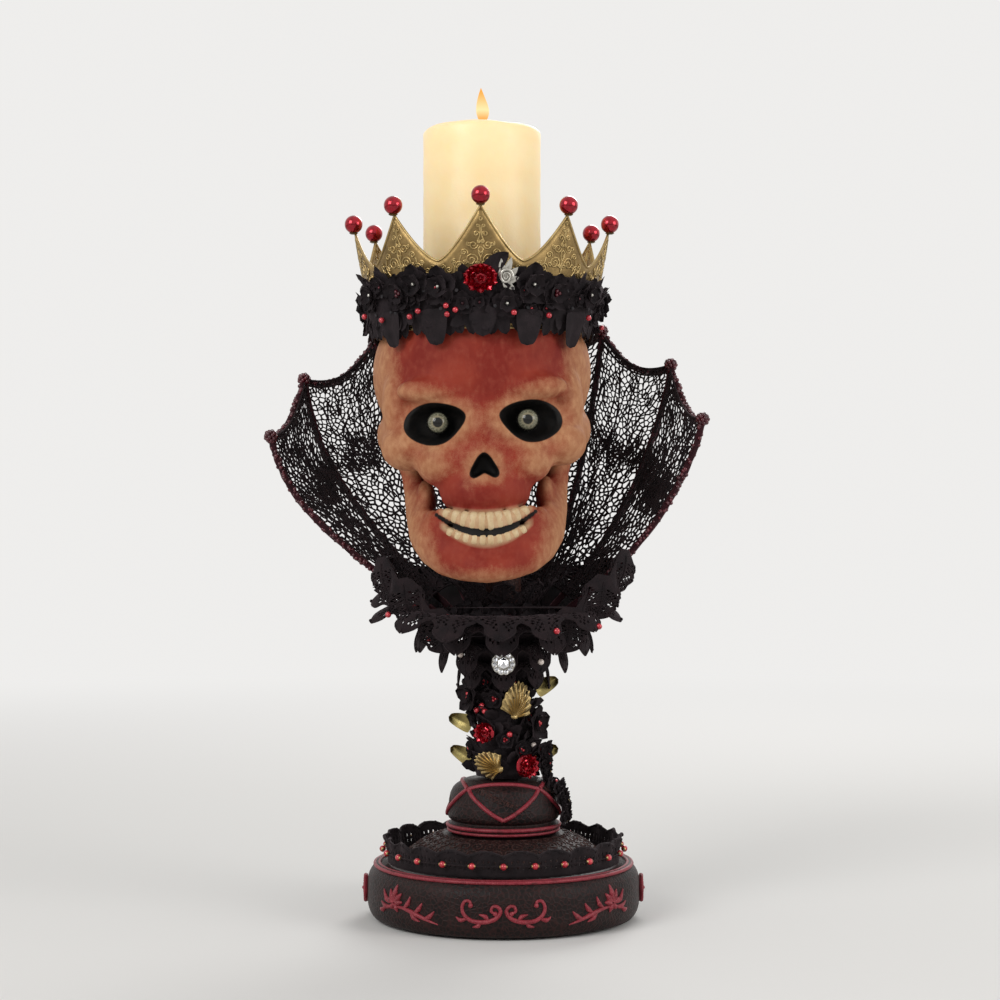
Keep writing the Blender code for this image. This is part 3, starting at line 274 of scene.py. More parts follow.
# %% Resin and brushed red
def black_resin():
    mix = Finish("black_resin_paint", Specular_IOR_Level=0.16)
    broad, fine = mix.grain(70), mix.grain(900, 6)
    cells = mix.node("ShaderNodeTexVoronoi", Vector=mix.spot, Scale=330.0)
    cells.feature = "DISTANCE_TO_EDGE"
    cast_lace = mix.between(cells.outputs["Distance"], 0.16, 0.03)
    colour = mix.blend(mix.between(broad, 0.35, 0.7), (0.0055, 0.0040, 0.0040), (0.018, 0.010, 0.009))
    raised = mix.sum(cast_lace, mix.between(fine, 0.35, 0.65, 0.2, 0.9), "MULTIPLY")
    colour = mix.blend(raised, colour, (0.038, 0.013, 0.012))
    worn = mix.sum(mix.edges(0.52, 0.62), mix.between(fine, 0.4, 0.7), "MULTIPLY")
    colour = mix.blend(worn, colour, (0.085, 0.035, 0.028))
    relief = mix.sum(mix.sum(cast_lace, 0.8, "MULTIPLY"), mix.sum(fine, 0.4, "MULTIPLY"))
    return mix.done(colour, mix.between(fine, 0.2, 0.8, 0.36, 0.58), relief, 0.0004, 0.5)


def brushed_red():
    mix = Finish("brushed_red_paint", Specular_IOR_Level=0.3)
    broad, fine = mix.grain(160), mix.grain(1400, 5)
    colour = mix.blend(mix.between(broad, 0.3, 0.7), (0.150, 0.009, 0.017), (0.290, 0.028, 0.044))
    worn = mix.sum(mix.between(fine, 0.50, 0.66), mix.edges(0.5, 0.6), "MULTIPLY")
    colour = mix.blend(worn, colour, (0.44, 0.10, 0.11))
    colour = mix.blend(mix.between(broad, 0.60, 0.74), colour, (0.06, 0.014, 0.014))
    return mix.done(colour, mix.between(fine, 0.3, 0.7, 0.34, 0.55), fine, 0.0002, 0.4)


BLACK_RESIN, BRUSHED_RED = black_resin(), brushed_red()
print("resin and red paint are mixed")

# %% Velvet, thread and felt
def cloth(name, dark, light, nap=2600, sheen=0.30, tint=(0.24, 0.17, 0.19, 1), stretch=(1, 1, 1), depth=0.0002):
    mix = Finish(name, Sheen_Weight=sheen, Sheen_Roughness=0.45, Sheen_Tint=tint, Specular_IOR_Level=0.2)
    broad, fine = mix.grain(120), mix.grain(nap, 3, stretch)
    colour = mix.blend(mix.sum(mix.between(broad, 0.3, 0.7), mix.between(fine, 0.3, 0.7), "MULTIPLY"), dark, light)
    return mix.done(colour, mix.between(fine, 0.2, 0.8, 0.78, 0.95), fine, depth, 0.7)


VELVET = cloth("black_velvet", (0.0085, 0.0065, 0.0075), (0.034, 0.024, 0.027))
THREAD = cloth("black_thread", (0.007, 0.005, 0.006), (0.030, 0.017, 0.019), 1500, 0.25, stretch=(1, 1, 6))
BRAID = cloth("black_braid", (0.008, 0.006, 0.007), (0.034, 0.024, 0.026), 1700, 0.28, stretch=(1, 1, 3))
WINE_CORD = cloth("wine_cord", (0.012, 0.003, 0.005), (0.060, 0.010, 0.016), 1600, 0.25, (0.5, 0.2, 0.22, 1), (1, 1, 4))
FELT = cloth("felt", (0.016, 0.016, 0.017), (0.055, 0.052, 0.052), 1800, 0.3)
print("five cloths are mixed")

# %% Metals and beads
def antique_metal(name, bright, dull, hollow, roughness=(0.24, 0.5)):
    mix = Finish(name, metallic=0.92)
    broad, fine = mix.grain(130), mix.grain(1500, 5)
    colour = mix.blend(mix.between(broad, 0.3, 0.7), bright, dull)
    dirt = mix.sum(mix.edges(0.52, 0.44), mix.between(fine, 0.35, 0.75, 0.5, 1.0), "MULTIPLY")
    colour = mix.blend(dirt, colour, hollow)
    return mix.done(colour, mix.between(fine, 0.3, 0.7, *roughness), fine, 0.00015, 0.35)


def glazed(name, deep, bright, metallic=0.75, roughness=(0.10, 0.22), coat=0.5):
    mix = Finish(name, metallic=metallic, Coat_Weight=coat, Coat_Roughness=0.05)
    broad, fine = mix.grain(260), mix.grain(2200, 4)
    colour = mix.blend(mix.between(broad, 0.3, 0.7), deep, bright)
    return mix.done(colour, mix.between(fine, 0.3, 0.7, *roughness), fine, 0.00005, 0.25)


DARK_GOLD = antique_metal("dark_gold_leaf", (0.40, 0.27, 0.11), (0.20, 0.135, 0.055), (0.03, 0.018, 0.010),
    (0.32, 0.55))
OLD_GOLD = antique_metal("antique_gold_leaf", (0.52, 0.38, 0.17), (0.34, 0.24, 0.10), (0.045, 0.028, 0.014))
OLIVE_GOLD = antique_metal("olive_gold_paint", (0.42, 0.33, 0.13), (0.24, 0.20, 0.075), (0.05, 0.04, 0.016))
OLD_SILVER = antique_metal("antique_silver", (0.62, 0.60, 0.55), (0.40, 0.38, 0.34), (0.06, 0.05, 0.045))
ZINC = antique_metal("zinc_plate", (0.60, 0.60, 0.62), (0.48, 0.49, 0.50), (0.20, 0.20, 0.20), (0.28, 0.42))
RED_GLAZE = glazed("red_metal_glaze", (0.22, 0.002, 0.009), (0.46, 0.006, 0.022), 0.85)
WINE_BEAD = glazed("wine_glass_bead", (0.030, 0.002, 0.006), (0.115, 0.007, 0.016), 0.2, (0.2, 0.35), 0.25)
RED_BEAD = glazed("red_glass_bead", (0.36, 0.010, 0.022), (0.66, 0.045, 0.060), 0.25)
PEARL_BEAD = glazed("pearl_bead", (0.60, 0.50, 0.44), (0.80, 0.72, 0.66), 0.1, (0.2, 0.3))
STONE = glazed("foiled_crystal", (0.72, 0.74, 0.78), (0.92, 0.93, 0.96), 0.95, (0.03, 0.08))
print("metals and beads are mixed")

# %% [markdown]
# ## Shapes as plain lists
# Almost everything on this object is a small shape that is repeated: a bead, a petal, a thread.
# Each could be its own object with modifiers, but thousands of objects are slow. Here a shape is a
# pair of lists, its points and its faces. A heap gathers many placed shapes into one mesh.

# %% A heap of shapes, and a piece made from it
class Heap:
    """Points and faces of many shapes, gathered into one mesh, with a finish for each face."""

    def __init__(self):
        self.points, self.faces, self.kinds = [], [], []

    def add(self, shape, place=None, kind=0):
        points, faces = shape
        start = len(self.points)
        if place is not None:
            points = [place @ Vector(p) for p in points]
        self.points.extend(tuple(p) for p in points)
        self.faces.extend(tuple(start + i for i in face) for face in faces)
        self.kinds.extend([kind] * len(faces))
        return self


def link(obj):
    bpy.context.scene.collection.objects.link(obj)
    return obj


def piece(name, heap, finishes, nodes=(), crease=55, place=None):
    """Turns a heap into an object that rides on the frame and stands for its solids.

    With a place, the object's own origin goes there, so that its finish can be painted from its middle."""
    mesh = bpy.data.meshes.new(name)
    mesh.from_pydata(heap.points, [], heap.faces)
    for finish in finishes:
        mesh.materials.append(finish)
    mesh.polygons.foreach_set("material_index", heap.kinds)
    mesh.shade_smooth()
    mesh.set_sharp_from_angle(angle=math.radians(crease))
    obj = link(bpy.data.objects.new(name, mesh))
    if place is not None:
        obj.matrix_world = place
    return ready(obj, nodes)


def ready(obj, nodes=()):
    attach(obj, "root")
    if nodes:
        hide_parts(*nodes)
    triangles = sum(len(p.vertices) - 2 for p in obj.data.polygons)
    print(f"{obj.name}: {triangles} triangles")
    return obj


def baked(obj):
    """The object with its modifiers turned into plain mesh."""
    bpy.context.view_layer.update()
    seen_by = bpy.context.evaluated_depsgraph_get()
    mesh = bpy.data.meshes.new_from_object(obj.evaluated_get(seen_by))
    obj.modifiers.clear()
    obj.data = mesh
    return obj


# %% Lathe, cord and ball shapes
def turned(profile, steps=96, wobble=None):
    """A profile of (radius, height) turned about Z; wobble(angle, radius, height) may move a point."""
    points, faces = [], []
    for radius, height in profile:
        for i in range(steps):
            angle = 2 * math.pi * i / steps
            r, z = wobble(angle, radius, height) if wobble else (radius, height)
            points.append((r * math.cos(angle), r * math.sin(angle), z))
    for row in range(len(profile) - 1):
        for i in range(steps):
            j = (i + 1) % steps
            faces.append((row * steps + i, row * steps + j, (row + 1) * steps + j, (row + 1) * steps + i))
    return points, faces


def through(stops, steps=6, closed=False):
    """A smooth line through a few points."""
    stops = [Vector(p) for p in stops]
    count = len(stops)
    spans = count if closed else count - 1
    line = []
    for i in range(spans):
        before, a, b, after = (stops[(i + k) % count] if closed else stops[min(max(i + k, 0), count - 1)]
                               for k in (-1, 0, 1, 2))
        for k in range(steps):
            s = k / steps
            line.append(0.5 * (2 * a + (b - before) * s + (2 * before - 5 * a + 4 * b - after) * s * s
                               + (3 * a - before - 3 * b + after) * s**3))
    if not closed:
        line.append(stops[-1])
    return line


def cord(line, radius, sides=6, closed=False, swell=None, strands=0, lay=0.0):
    """A round or twisted cord along a line. Strands give it lobes that wind once in every lay metres."""
    line = [Vector(p) for p in line]
    count = len(line)
    points, faces = [], []
    side, run = None, 0.0
    for i, p in enumerate(line):
        ahead = line[(i + 1) % count] if closed or i + 1 < count else p
        behind = line[i - 1] if closed or i else p
        along = (ahead - behind).normalized()
        if side is None:
            side = along.orthogonal().normalized()
        side = (side - along * side.dot(along)).normalized()
        other = along.cross(side)
        run += (p - behind).length
        size = radius * (swell[i] if swell else 1.0)
        for k in range(sides):
            a = 2 * math.pi * k / sides
            lobe = 1 + 0.16 * math.cos(strands * (a - 2 * math.pi * run / lay)) if strands else 1.0
            points.append(p + (side * math.cos(a) + other * math.sin(a)) * size * lobe)
    rows = count if closed else count - 1
    for i in range(rows):
        for k in range(sides):
            low, high = i * sides, ((i + 1) % count) * sides
            faces.append((low + k, low + (k + 1) % sides, high + (k + 1) % sides, high + k))
    if not closed:
        faces.append(tuple(reversed(range(sides))))
        faces.append(tuple((count - 1) * sides + k for k in range(sides)))
    return points, faces


def from_bmesh(build):
    """The points and faces of something that Blender's mesh tools make."""
    bm = bmesh.new()
    build(bm)
    shape = [v.co.copy() for v in bm.verts], [tuple(v.index for v in f.verts) for f in bm.faces]
    bm.free()
    return shape


def ball(radius, fine=2, stretch=(1, 1, 1)):
    """A ball of even triangles: 80 of them at fine 2, 320 at fine 3."""
    points, faces = from_bmesh(lambda bm: bmesh.ops.create_icosphere(bm, subdivisions=fine, radius=radius))
    return [(p.x * stretch[0], p.y * stretch[1], p.z * stretch[2]) for p in points], faces


BEAD = from_bmesh(lambda bm: bmesh.ops.create_uvsphere(bm, u_segments=7, v_segments=5, radius=1.0))


def move(x=0.0, y=0.0, z=0.0):
    return Matrix.Translation((x, y, z))


def sized(place, size):
    """Brings a shape of radius 1 to a place and to its size."""
    return Matrix.Translation(place) @ Matrix.Scale(size, 4)


def turn(degrees, axis="Z"):
    return Matrix.Rotation(math.radians(degrees), 4, axis)


def outward(azimuth, radius, height, lean=0.0, spin=0.0, shift=0.0):
    """A place on a round carrier: local +Z points outward and +Y up. Azimuth 0 is the front."""
    a = math.radians(azimuth)
    out, across = Vector((math.sin(a), -math.cos(a), 0)), Vector((math.cos(a), math.sin(a), 0))
    facing = Matrix((across, Vector((0, 0, 1)), out)).transposed().to_4x4()
    return move(shift) @ Matrix.Translation(out * radius + Vector((0, 0, height))) @ facing @ turn(lean,
        "X") @ turn(spin)


def round_point(azimuth, radius, height, shift=0.0):
    a = math.radians(azimuth)
    return Vector((radius * math.sin(a) + shift, -radius * math.cos(a), height))


print("bead shape has", len(BEAD[1]), "faces")

# %% [markdown]
# ## Petals and flowers
# Velvet petals are stamped from stiffened cloth: a soft outline, a groove down the middle, and a
# cup or a curl. One function draws them all, as a grid with an upper and a lower skin that meet at
# the edge. A flower is a ring or two of these petals round a few beads.

# %% Petal, leaf and flower shapes
def petal(length, width, thickness=0.0006, curl=0.0, cup=0.0, tip=1.0, teeth=0, vein=0.10, rows=5, columns=4):
    """A petal from its stalk along +Y. Curl lifts its tip, cup its sides; tip above 1 is more pointed."""
    points, faces = [], []
    for skin in (1, -1):
        for r in range(rows + 1):
            s = r / rows
            outline = math.sin(math.pi * min(s ** (0.75 * tip) * 0.96 + 0.04, 1.0))
            half = width / 2 * max(outline, 0.0) ** (0.55 * tip)
            if teeth:
                half *= 1 + 0.13 * math.sin(s * teeth * 2 * math.pi)
            for c in range(columns + 1):
                u = 2 * c / columns - 1
                body = (1 - u * u) ** 0.5 * math.sin(math.pi * (0.06 + 0.9 * s))
                ridge = -vein * width * math.exp(-(u * 3.2) ** 2) * math.sin(math.pi * s)
                rib = 0.02 * width * math.cos((s - abs(u) * 0.35) * 26) * abs(u) * (1 - abs(u))
                z = curl * s * s + cup * u * u * s + ridge + rib + skin * thickness * (0.15 + body) / 2
                points.append((half * u, length * s, z))
    skin_size = (rows + 1) * (columns + 1)
    wide = columns + 1
    for r in range(rows):
        for c in range(columns):
            a = r * wide + c
            faces.append((a, a + 1, a + wide + 1, a + wide))
            b = a + skin_size
            faces.append((b, b + wide, b + wide + 1, b + 1))
    rim = [c for c in range(columns)] + [r * wide + columns for r in range(rows)]
    rim += [rows * wide + c for c in range(columns, 0, -1)] + [r * wide for r in range(rows, 0, -1)]
    for a, b in zip(rim, rim[1:] + rim[:1]):
        faces.append((b, a, a + skin_size, b + skin_size))
    return points, faces


def flower(heap, place, radius, petals=5, rng=None, cup=18, layers=2, beads=3, bead=0.0013, kind=0, bead_kind=1):
    """A flower that faces local +Z, in layers of petals, with beads at its heart."""
    rng = rng or random.Random(1)
    for layer in range(layers):
        size = radius * (1 - 0.34 * layer)
        shape = petal(size, size * 1.10, curl=size * 0.10, cup=size * 0.16, tip=0.62)
        for i in range(petals):
            around = 360 * (i + 0.5 * layer) / petals + rng.uniform(-7, 7)
            lift = cup + 22 * layer + rng.uniform(-6, 6)
            spot = place @ turn(around) @ move(0, size * 0.06, 0.0006 + 0.0008 * layer)
            heap.add(shape, spot @ turn(lift, "X"), kind)
    for i in range(beads):
        a = 2 * math.pi * i / max(beads, 1)
        reach = bead * 1.05 if beads > 1 else 0
        spot = move(reach * math.cos(a), reach * math.sin(a), radius * 0.24) @ Matrix.Scale(bead, 4)
        heap.add(BEAD, place @ spot, bead_kind)


print("a petal has", len(petal(0.01, 0.01)[1]), "faces")

# %% [markdown]
# ## The base casting
# On the real base a drum carries a sloping tier, all one casting in resin. A drawn outline that is
# turned about the middle gives the smooth body, with far more steps than the solid model has.
# The surface of the tier is cast like lace, which is real relief here: small rings of fine cord lie
# on the slope. The red lines on the rim are two thin rings side by side.

# %% Sizes of the base
BASE_BOTTOM, BASE_RADIUS, DRUM_HEIGHT, DRUM_EDGE = 0.0018, 0.088, 0.0335, 0.005
DRUM_TOP = BASE_BOTTOM + DRUM_HEIGHT
LAND_RADIUS, DOME_HEIGHT, DOME_TOP_RADIUS = 0.070, 0.019, 0.038
DOME_TOP = DRUM_TOP + DOME_HEIGHT
RIM_RADIUS, ROD_HOLE = BASE_RADIUS - 0.0065, 0.0034


def drum_radius(height):
    return BASE_RADIUS - DRUM_EDGE * abs(2 * height / DRUM_HEIGHT - 0.95) ** 4


def dome_height(radius):
    share = (radius - DOME_TOP_RADIUS) / (LAND_RADIUS - DOME_TOP_RADIUS)
    return DRUM_TOP + DOME_HEIGHT * (1 - share**1.7)


# %% Turn the casting and lay its cast lace on the tier
def base_outline():
    dome = [(DOME_TOP_RADIUS + (LAND_RADIUS - DOME_TOP_RADIUS) * i / 20,) * 2 for i in range(21)]
    dome = [(r, dome_height(r)) for r, _ in dome]
    rim = [(RIM_RADIUS + 0.0019 * math.cos(a), DRUM_TOP + 0.0009 * math.sin(a))
           for a in (math.radians(d) for d in range(170, -1, -17))]
    side = [(drum_radius(DRUM_HEIGHT * i / 24), BASE_BOTTOM + DRUM_HEIGHT * i / 24) for i in range(24, -1, -1)]
    foot = [(0.072, BASE_BOTTOM), (0.0145, BASE_BOTTOM), (0.0145, BASE_BOTTOM + 0.0095),
            (ROD_HOLE, BASE_BOTTOM + 0.0095)]
    return [(ROD_HOLE, DOME_TOP)] + dome + rim + side + foot + [(ROD_HOLE, DOME_TOP)]


casting = Heap().add(turned(base_outline(), 150))
LACE_ROWS = ((0.0420, 0.0030, 30), (0.0482, 0.0032, 36), (0.0546, 0.0032, 42), (0.0612, 0.0032, 48),
             (0.0672, 0.0026, 54))
for radius, size, count in LACE_ROWS:
    for i in range(count):
        azimuth = 360 * (i + 0.5 * (count // 6 % 2)) / count
        ring = []
        for k in range(12):
            a = 2 * math.pi * k / 12
            r = radius + size * 0.9 * math.sin(a)
            ring.append(round_point(azimuth + math.degrees(size * math.cos(a) / radius), r, dome_height(r) + 0.0001))
        casting.add(cord(ring, 0.00042, 4, closed=True))
        middle = round_point(azimuth, radius, dome_height(radius))
        casting.add(BEAD, sized(middle, 0.0008))
piece("base_casting", casting, [BLACK_RESIN], ["base"])

# %% [markdown]
# ## The red relief of the drum
# A pair of scrolls meets at the front, and a lily on a stalk fills the space on each side. They
# could be carved into the drum with a displacement picture. Raised cords that swell and thin out
# are closer to how the master was modelled, with rolled strings of clay, and they catch the light
# in the same way.

# %% Lay the scrolls and lilies on the drum
SCROLL_LINE = (
    (4.9, -1.2), (7.4, 0.4), (6.4, 3.2), (3.4, 3.0), (1.8, 0.0), (4.4, -3.8), (9.0, -5.8), (14.0, -6.3),
    (19.5, -5.7), (24.0, -2.6), (25.6, 2.0), (23.8, 6.0), (20.8, 6.0), (20.2, 3.6),
)
SCROLL_TWIGS = (((14, -6.3), (15.5, -8.6), (19, -9.6)), ((9, -5.8), (11, -3.0), (15, -1.8)),
                ((22, -4.2), (26.5, -5.6), (29.5, -3.6)))
LILY_PETALS = ((0, 11.5), (-38, 9.5), (38, 9.0), (-80, 9.0), (76, 7.0), (150, 6.0), (-135, 6.5))
LILY_STALKS = (
    ((0.5, -2.0), (9.0, -2.4), (18.0, -4.6), (27.0, -7.4), (35.0, -9.6)), ((8.0, -2.2), (12.0, 1.0), (14.0, 5.6)),
    ((17.0, -4.2), (21.0, -1.4), (23.5, 2.6)), ((25.0, -6.8), (29.0, -5.2), (32.5, -1.6)),
    ((14.0, -3.6), (17.0, -7.0), (21.5, -9.0)), ((-5.0, -0.5), (-9.0, 1.5), (-13.0, 7.0)),
    ((-4.0, -2.5), (-10.0, -3.4), (-16.0, -1.0)), ((-10.0, -3.2), (-14.0, -6.0), (-18.0, -5.6)),
)


def on_drum(azimuth, across, up):
    height = 0.5 * DRUM_HEIGHT + up / 1000
    return round_point(azimuth + math.degrees(across / 1000 / BASE_RADIUS), drum_radius(height) + 0.0001,
                       BASE_BOTTOM + height)


def stroke(heap, azimuth, side, line, thick, swell):
    """A raised string of clay: swell gives its thickness at the start, middle and end."""
    path = through([on_drum(azimuth, side * across, up) for across, up in line], 5)
    last = len(path) - 1
    sizes = [np.interp(i / last, [0, 0.5, 1], swell) for i in range(last + 1)]
    heap.add(cord(path, thick, 8, swell=sizes))


relief = Heap()
for side in (-1, 1):
    stroke(relief, 0, side, SCROLL_LINE, 0.0012, (0.7, 1.25, 0.7))
    for across, up in (SCROLL_LINE[0], SCROLL_LINE[-1]):
        relief.add(BEAD, sized(on_drum(0, side * across, up), 0.0016))
    for twig in SCROLL_TWIGS:
        stroke(relief, 0, side, twig, 0.0010, (0.6, 1.5, 0.3))
    for lean, length in LILY_PETALS:
        a = math.radians(lean)
        line = [(math.sin(a + 0.10 * s) * length * s, math.cos(a + 0.10 * s) * length * s)
                for s in (0.08, 0.4, 0.7, 1.0)]
        stroke(relief, -side * 50, side, line, 0.0013, (0.8, 1.5, 0.25))
    for stalk in LILY_STALKS:
        stroke(relief, -side * 50, side, stalk, 0.0011, (0.6, 1.5, 0.3))
for radius, lift in ((RIM_RADIUS - 0.0013, 0.0002), (RIM_RADIUS + 0.0016, -0.0001)):
    ring = [round_point(i * 2, radius, DRUM_TOP + lift) for i in range(180)]
    relief.add(cord(ring, 0.0012, 8, closed=True))
piece("base_relief", relief, [BRUSHED_RED])

# %% [markdown]
# ## Side medallions
# An oval boss with a rope border sits on each side of the drum. It was cast apart and glued on.
# A low dome, a twisted cord round it and a flower of raised petals make it; a sculpted height map
# would do as well, but would need a far denser grid for the same crisp rope.

# %% Make the two medallions
def medallion(place):
    heap = Heap()
    half_w, half_h, depth = 0.0075, 0.0090, 0.0035
    dome = [(0.0, 1.0), (0.3, 0.95), (0.6, 0.78), (0.82, 0.52), (0.95, 0.28), (1.0, 0.0)]
    points, faces = turned([(r, z) for r, z in dome[1:]] + [(0.001, 0.0)], 48)
    top = turned([(0.001, 1.0)] + dome[1:2], 48)
    for shape in ((points, faces), top):
        heap.add(([(x * half_w, y * half_h, z * depth * 0.62) for x, y, z in shape[0]], shape[1]), place)
    oval = [(half_w * 0.9 * math.cos(i * math.pi / 48), half_h * 0.9 * math.sin(i * math.pi / 48), 0.0013)
            for i in range(96)]
    heap.add(cord(oval, 0.0011, 9, closed=True, strands=2, lay=0.0026), place)
    for i in range(6):
        leaf = petal(0.0050, 0.0030, 0.0014, curl=-0.0008, vein=0.05, rows=5, columns=4)
        heap.add(leaf, place @ move(0, 0, depth * 0.66) @ turn(60 * i) @ move(0, 0.0006, 0))
    heap.add(BEAD, place @ move(0, 0, depth * 0.70) @ Matrix.Scale(0.0013, 4))
    return heap


for name, azimuth in (("medallion_left", -90), ("medallion_right", 90)):
    spot = outward(azimuth, drum_radius(0.5 * DRUM_HEIGHT) + 0.0001, BASE_BOTTOM + 0.5 * DRUM_HEIGHT)
    piece(name + "_carved", medallion(spot), [BRUSHED_RED], [name])

# %% [markdown]
# ## The braid ruffle and its beads
# A gathered braid stands round the top of the drum, with scallops and a corded edge, and red beads
# are sewn on it. A cloth simulation could gather it, but stiff braid keeps its waves, so they are
# drawn by a sine that grows towards the free edge. The sheet has a real thickness and the edging
# is a twisted cord.

# %% Gather the ruffle
RUFFLE_RADIUS, RUFFLE_HEIGHT, RUFFLE_LOBES = 0.0745, 0.0165, 22
RUFFLE_FOOT = DRUM_TOP + 0.0013


def ruffle_point(turns, share):
    """A point of the ruffle at turns round the base, from its sewn foot (0) to its edge (1)."""
    angle = 2 * math.pi * turns
    scallop = 0.0030 * (1 - abs(math.cos(RUFFLE_LOBES * angle / 2)))
    radius = RUFFLE_RADIUS + 0.0013 * share * math.sin(RUFFLE_LOBES * angle) + 0.0014 * share * share
    height = RUFFLE_FOOT + share * (RUFFLE_HEIGHT - scallop)
    return Vector((radius * math.cos(angle), radius * math.sin(angle), height))


def skinned(point_at, columns, rows, thickness, around=True, keep=lambda c, r: True):
    """A thin closed sheet on a grid of points; keep(column, row) leaves holes where it says False."""
    bm = bmesh.new()
    grid = [[bm.verts.new(point_at(c / columns, r / rows)) for c in range(columns if around else columns + 1)]
            for r in range(rows + 1)]
    for r in range(rows):
        for c in range(columns):
            if keep(c, r):
                d = (c + 1) % columns if around else c + 1
                bm.faces.new((grid[r][c], grid[r][d], grid[r + 1][d], grid[r + 1][c]))
    bmesh.ops.delete(bm, geom=[v for v in bm.verts if not v.link_faces], context="VERTS")
    mesh = bpy.data.meshes.new("sheet")
    bm.to_mesh(mesh)
    bm.free()
    sheet = link(bpy.data.objects.new("sheet", mesh))
    shell = sheet.modifiers.new("thickness", "SOLIDIFY")
    shell.thickness, shell.offset = thickness, 0
    return baked(sheet)


def finished_sheet(sheet, name, finish, nodes):
    sheet.name = sheet.data.name = name
    sheet.data.materials.clear()
    sheet.data.materials.append(finish)
    sheet.data.shade_smooth()
    return ready(sheet, nodes)


def area_of(obj):
    """Half the surface of a thin closed sheet, which is the cloth it took."""
    return sum(p.area for p in obj.data.polygons) / 2


ruffle_columns = RUFFLE_LOBES * 18
ruffle = skinned(ruffle_point, ruffle_columns, 9, 0.0010, keep=lambda c, r: not (r in (3, 5) and c % 3 == 1))
finished_sheet(ruffle, "base_ruffle_braid", BRAID, ["base_ruffle"])
edging = Heap()
for share, thick in ((0.99, 0.0009), (0.30, 0.0006), (0.72, 0.0005)):
    line = [ruffle_point(i / (RUFFLE_LOBES * 12), share) for i in range(RUFFLE_LOBES * 12)]
    edging.add(cord(line, thick, 7, closed=True, strands=2, lay=0.004))
for i in range(RUFFLE_LOBES * 3):
    knot = ruffle_point((i + 0.5) / (RUFFLE_LOBES * 3), 0.97)
    edging.add(BEAD, sized(knot, 0.0015))
ruffle_edge = piece("base_ruffle_edging", edging, [BRAID])
print("ruffle takes", round(area_of(ruffle) * 1e4, 1), "square cm of braid")

# %% Sew the beads on the ruffle
string = Heap()
BEAD_LINE = RUFFLE_RADIUS + 0.0038
bead_height = DRUM_TOP + RUFFLE_HEIGHT * 0.55
for i in range(25):
    string.add(ball(0.0021, 3), Matrix.Translation(round_point(14.4 * i, BEAD_LINE, bead_height)), 0)
    for side in (-1, 1):
        cap = ball(0.0011, 2, (1, 1, 0.5))
        string.add(cap, outward(14.4 * i + side * 1.45, BEAD_LINE, bead_height) @ turn(90, "Y"), 1)
thread_line = [round_point(i * 3, BEAD_LINE, bead_height) for i in range(120)]
string.add(cord(thread_line, 0.00035, 5, closed=True), kind=2)
piece("base_beads", string, [RED_BEAD, OLD_GOLD, THREAD], ["base_bead_string"])

# %% [markdown]
# ## The bell of the pedestal
# The bell is cast and painted like the base. Red cords draw a shield on each of its four sides and
# a ring runs round its foot. The outline is the one in the solid model, passed through a smooth
# curve, and the cords follow its surface by reading the radius off that outline.

# %% Turn the bell and lay its cords
CLEARANCE = 0.0003  # between two solids that touch
PEDESTAL_BOTTOM, PEDESTAL_HEIGHT = DOME_TOP + CLEARANCE, 0.035
PEDESTAL_TOP = PEDESTAL_BOTTOM + PEDESTAL_HEIGHT
bell_foot, bell_belly, bell_top = 0.0362, 0.0362, 0.0262
BELL_SHARES = (
    (bell_top * 0.90, 1.0), (bell_top, 0.97), (0.36 * bell_top + 0.64 * bell_belly, 0.84), (bell_belly * 0.965, 0.62),
    (bell_belly, 0.40), (bell_belly * 0.985, 0.29), (bell_foot * 0.935, 0.235), (bell_foot, 0.155),
    (bell_foot * 0.985, 0.06), (bell_foot * 0.93, 0.0),
)
bell_line = through([(r, 0, PEDESTAL_BOTTOM + PEDESTAL_HEIGHT * s) for r, s in BELL_SHARES], 6)
bell_heights = [p.z for p in reversed(bell_line)]
bell_radii = [p.x for p in reversed(bell_line)]


def scattered(i, step=0.618034, start=0.0):
    """A share from 0 to 1 for the i-th of many things, so that they spread evenly and never bunch."""
    return (i * step + start) % 1


def bell_radius(height):
    return float(np.interp(height, bell_heights, bell_radii))


def on_bell(azimuth, share, proud=0.0):
    height = PEDESTAL_BOTTOM + PEDESTAL_HEIGHT * share
    return round_point(azimuth, bell_radius(height) + proud, height)


bell = Heap()
profile = [(ROD_HOLE, PEDESTAL_TOP)] + [(p.x, p.z) for p in bell_line]
profile += [(ROD_HOLE, PEDESTAL_BOTTOM), (ROD_HOLE, PEDESTAL_TOP)]
bell.add(turned(profile, 120))
for side in range(4):
    for i in range(26):
        share, swing = 0.42 + 0.47 * scattered(i, 0.618), -34 + 68 * scattered(i, 0.382)
        if abs(swing) < 68 * (share - 0.36):
            curl = [(a, 1 - a / 14) for a in (0.6 * k for k in range(17))]
            curl = [on_bell(90 * side + swing + 3.0 * math.cos(a) * r, share + 0.055 * math.sin(a) * r)
                    for a, r in curl]
            bell.add(cord(curl, 0.00035, 5))
piece("pedestal_bell", bell, [BLACK_RESIN], ["pedestal"])

shield = Heap()
for i in range(4):
    for side in (-1, 1):
        line = [on_bell(90 * i + side * 45 * s, 0.34 + 0.54 * s**1.15, 0.0002)
                for s in (0, 0.15, 0.3, 0.45, 0.62, 0.8, 0.98)]
        shield.add(cord(through(line, 4), 0.0014, 8))
    line = [on_bell(90 * i + 45 * s, 0.965 - 0.10 * abs(s) ** 2.5, 0.0002)
            for s in (-0.97, -0.7, -0.4, 0, 0.4, 0.7, 0.97)]
    shield.add(cord(through(line, 4), 0.0014, 8))
for share, thick in ((0.155, 0.0013), (0.07, 0.0010)):
    shield.add(cord([on_bell(3 * k, share) for k in range(120)], thick, 8, closed=True))
piece("pedestal_cords", shield, [BRUSHED_RED])

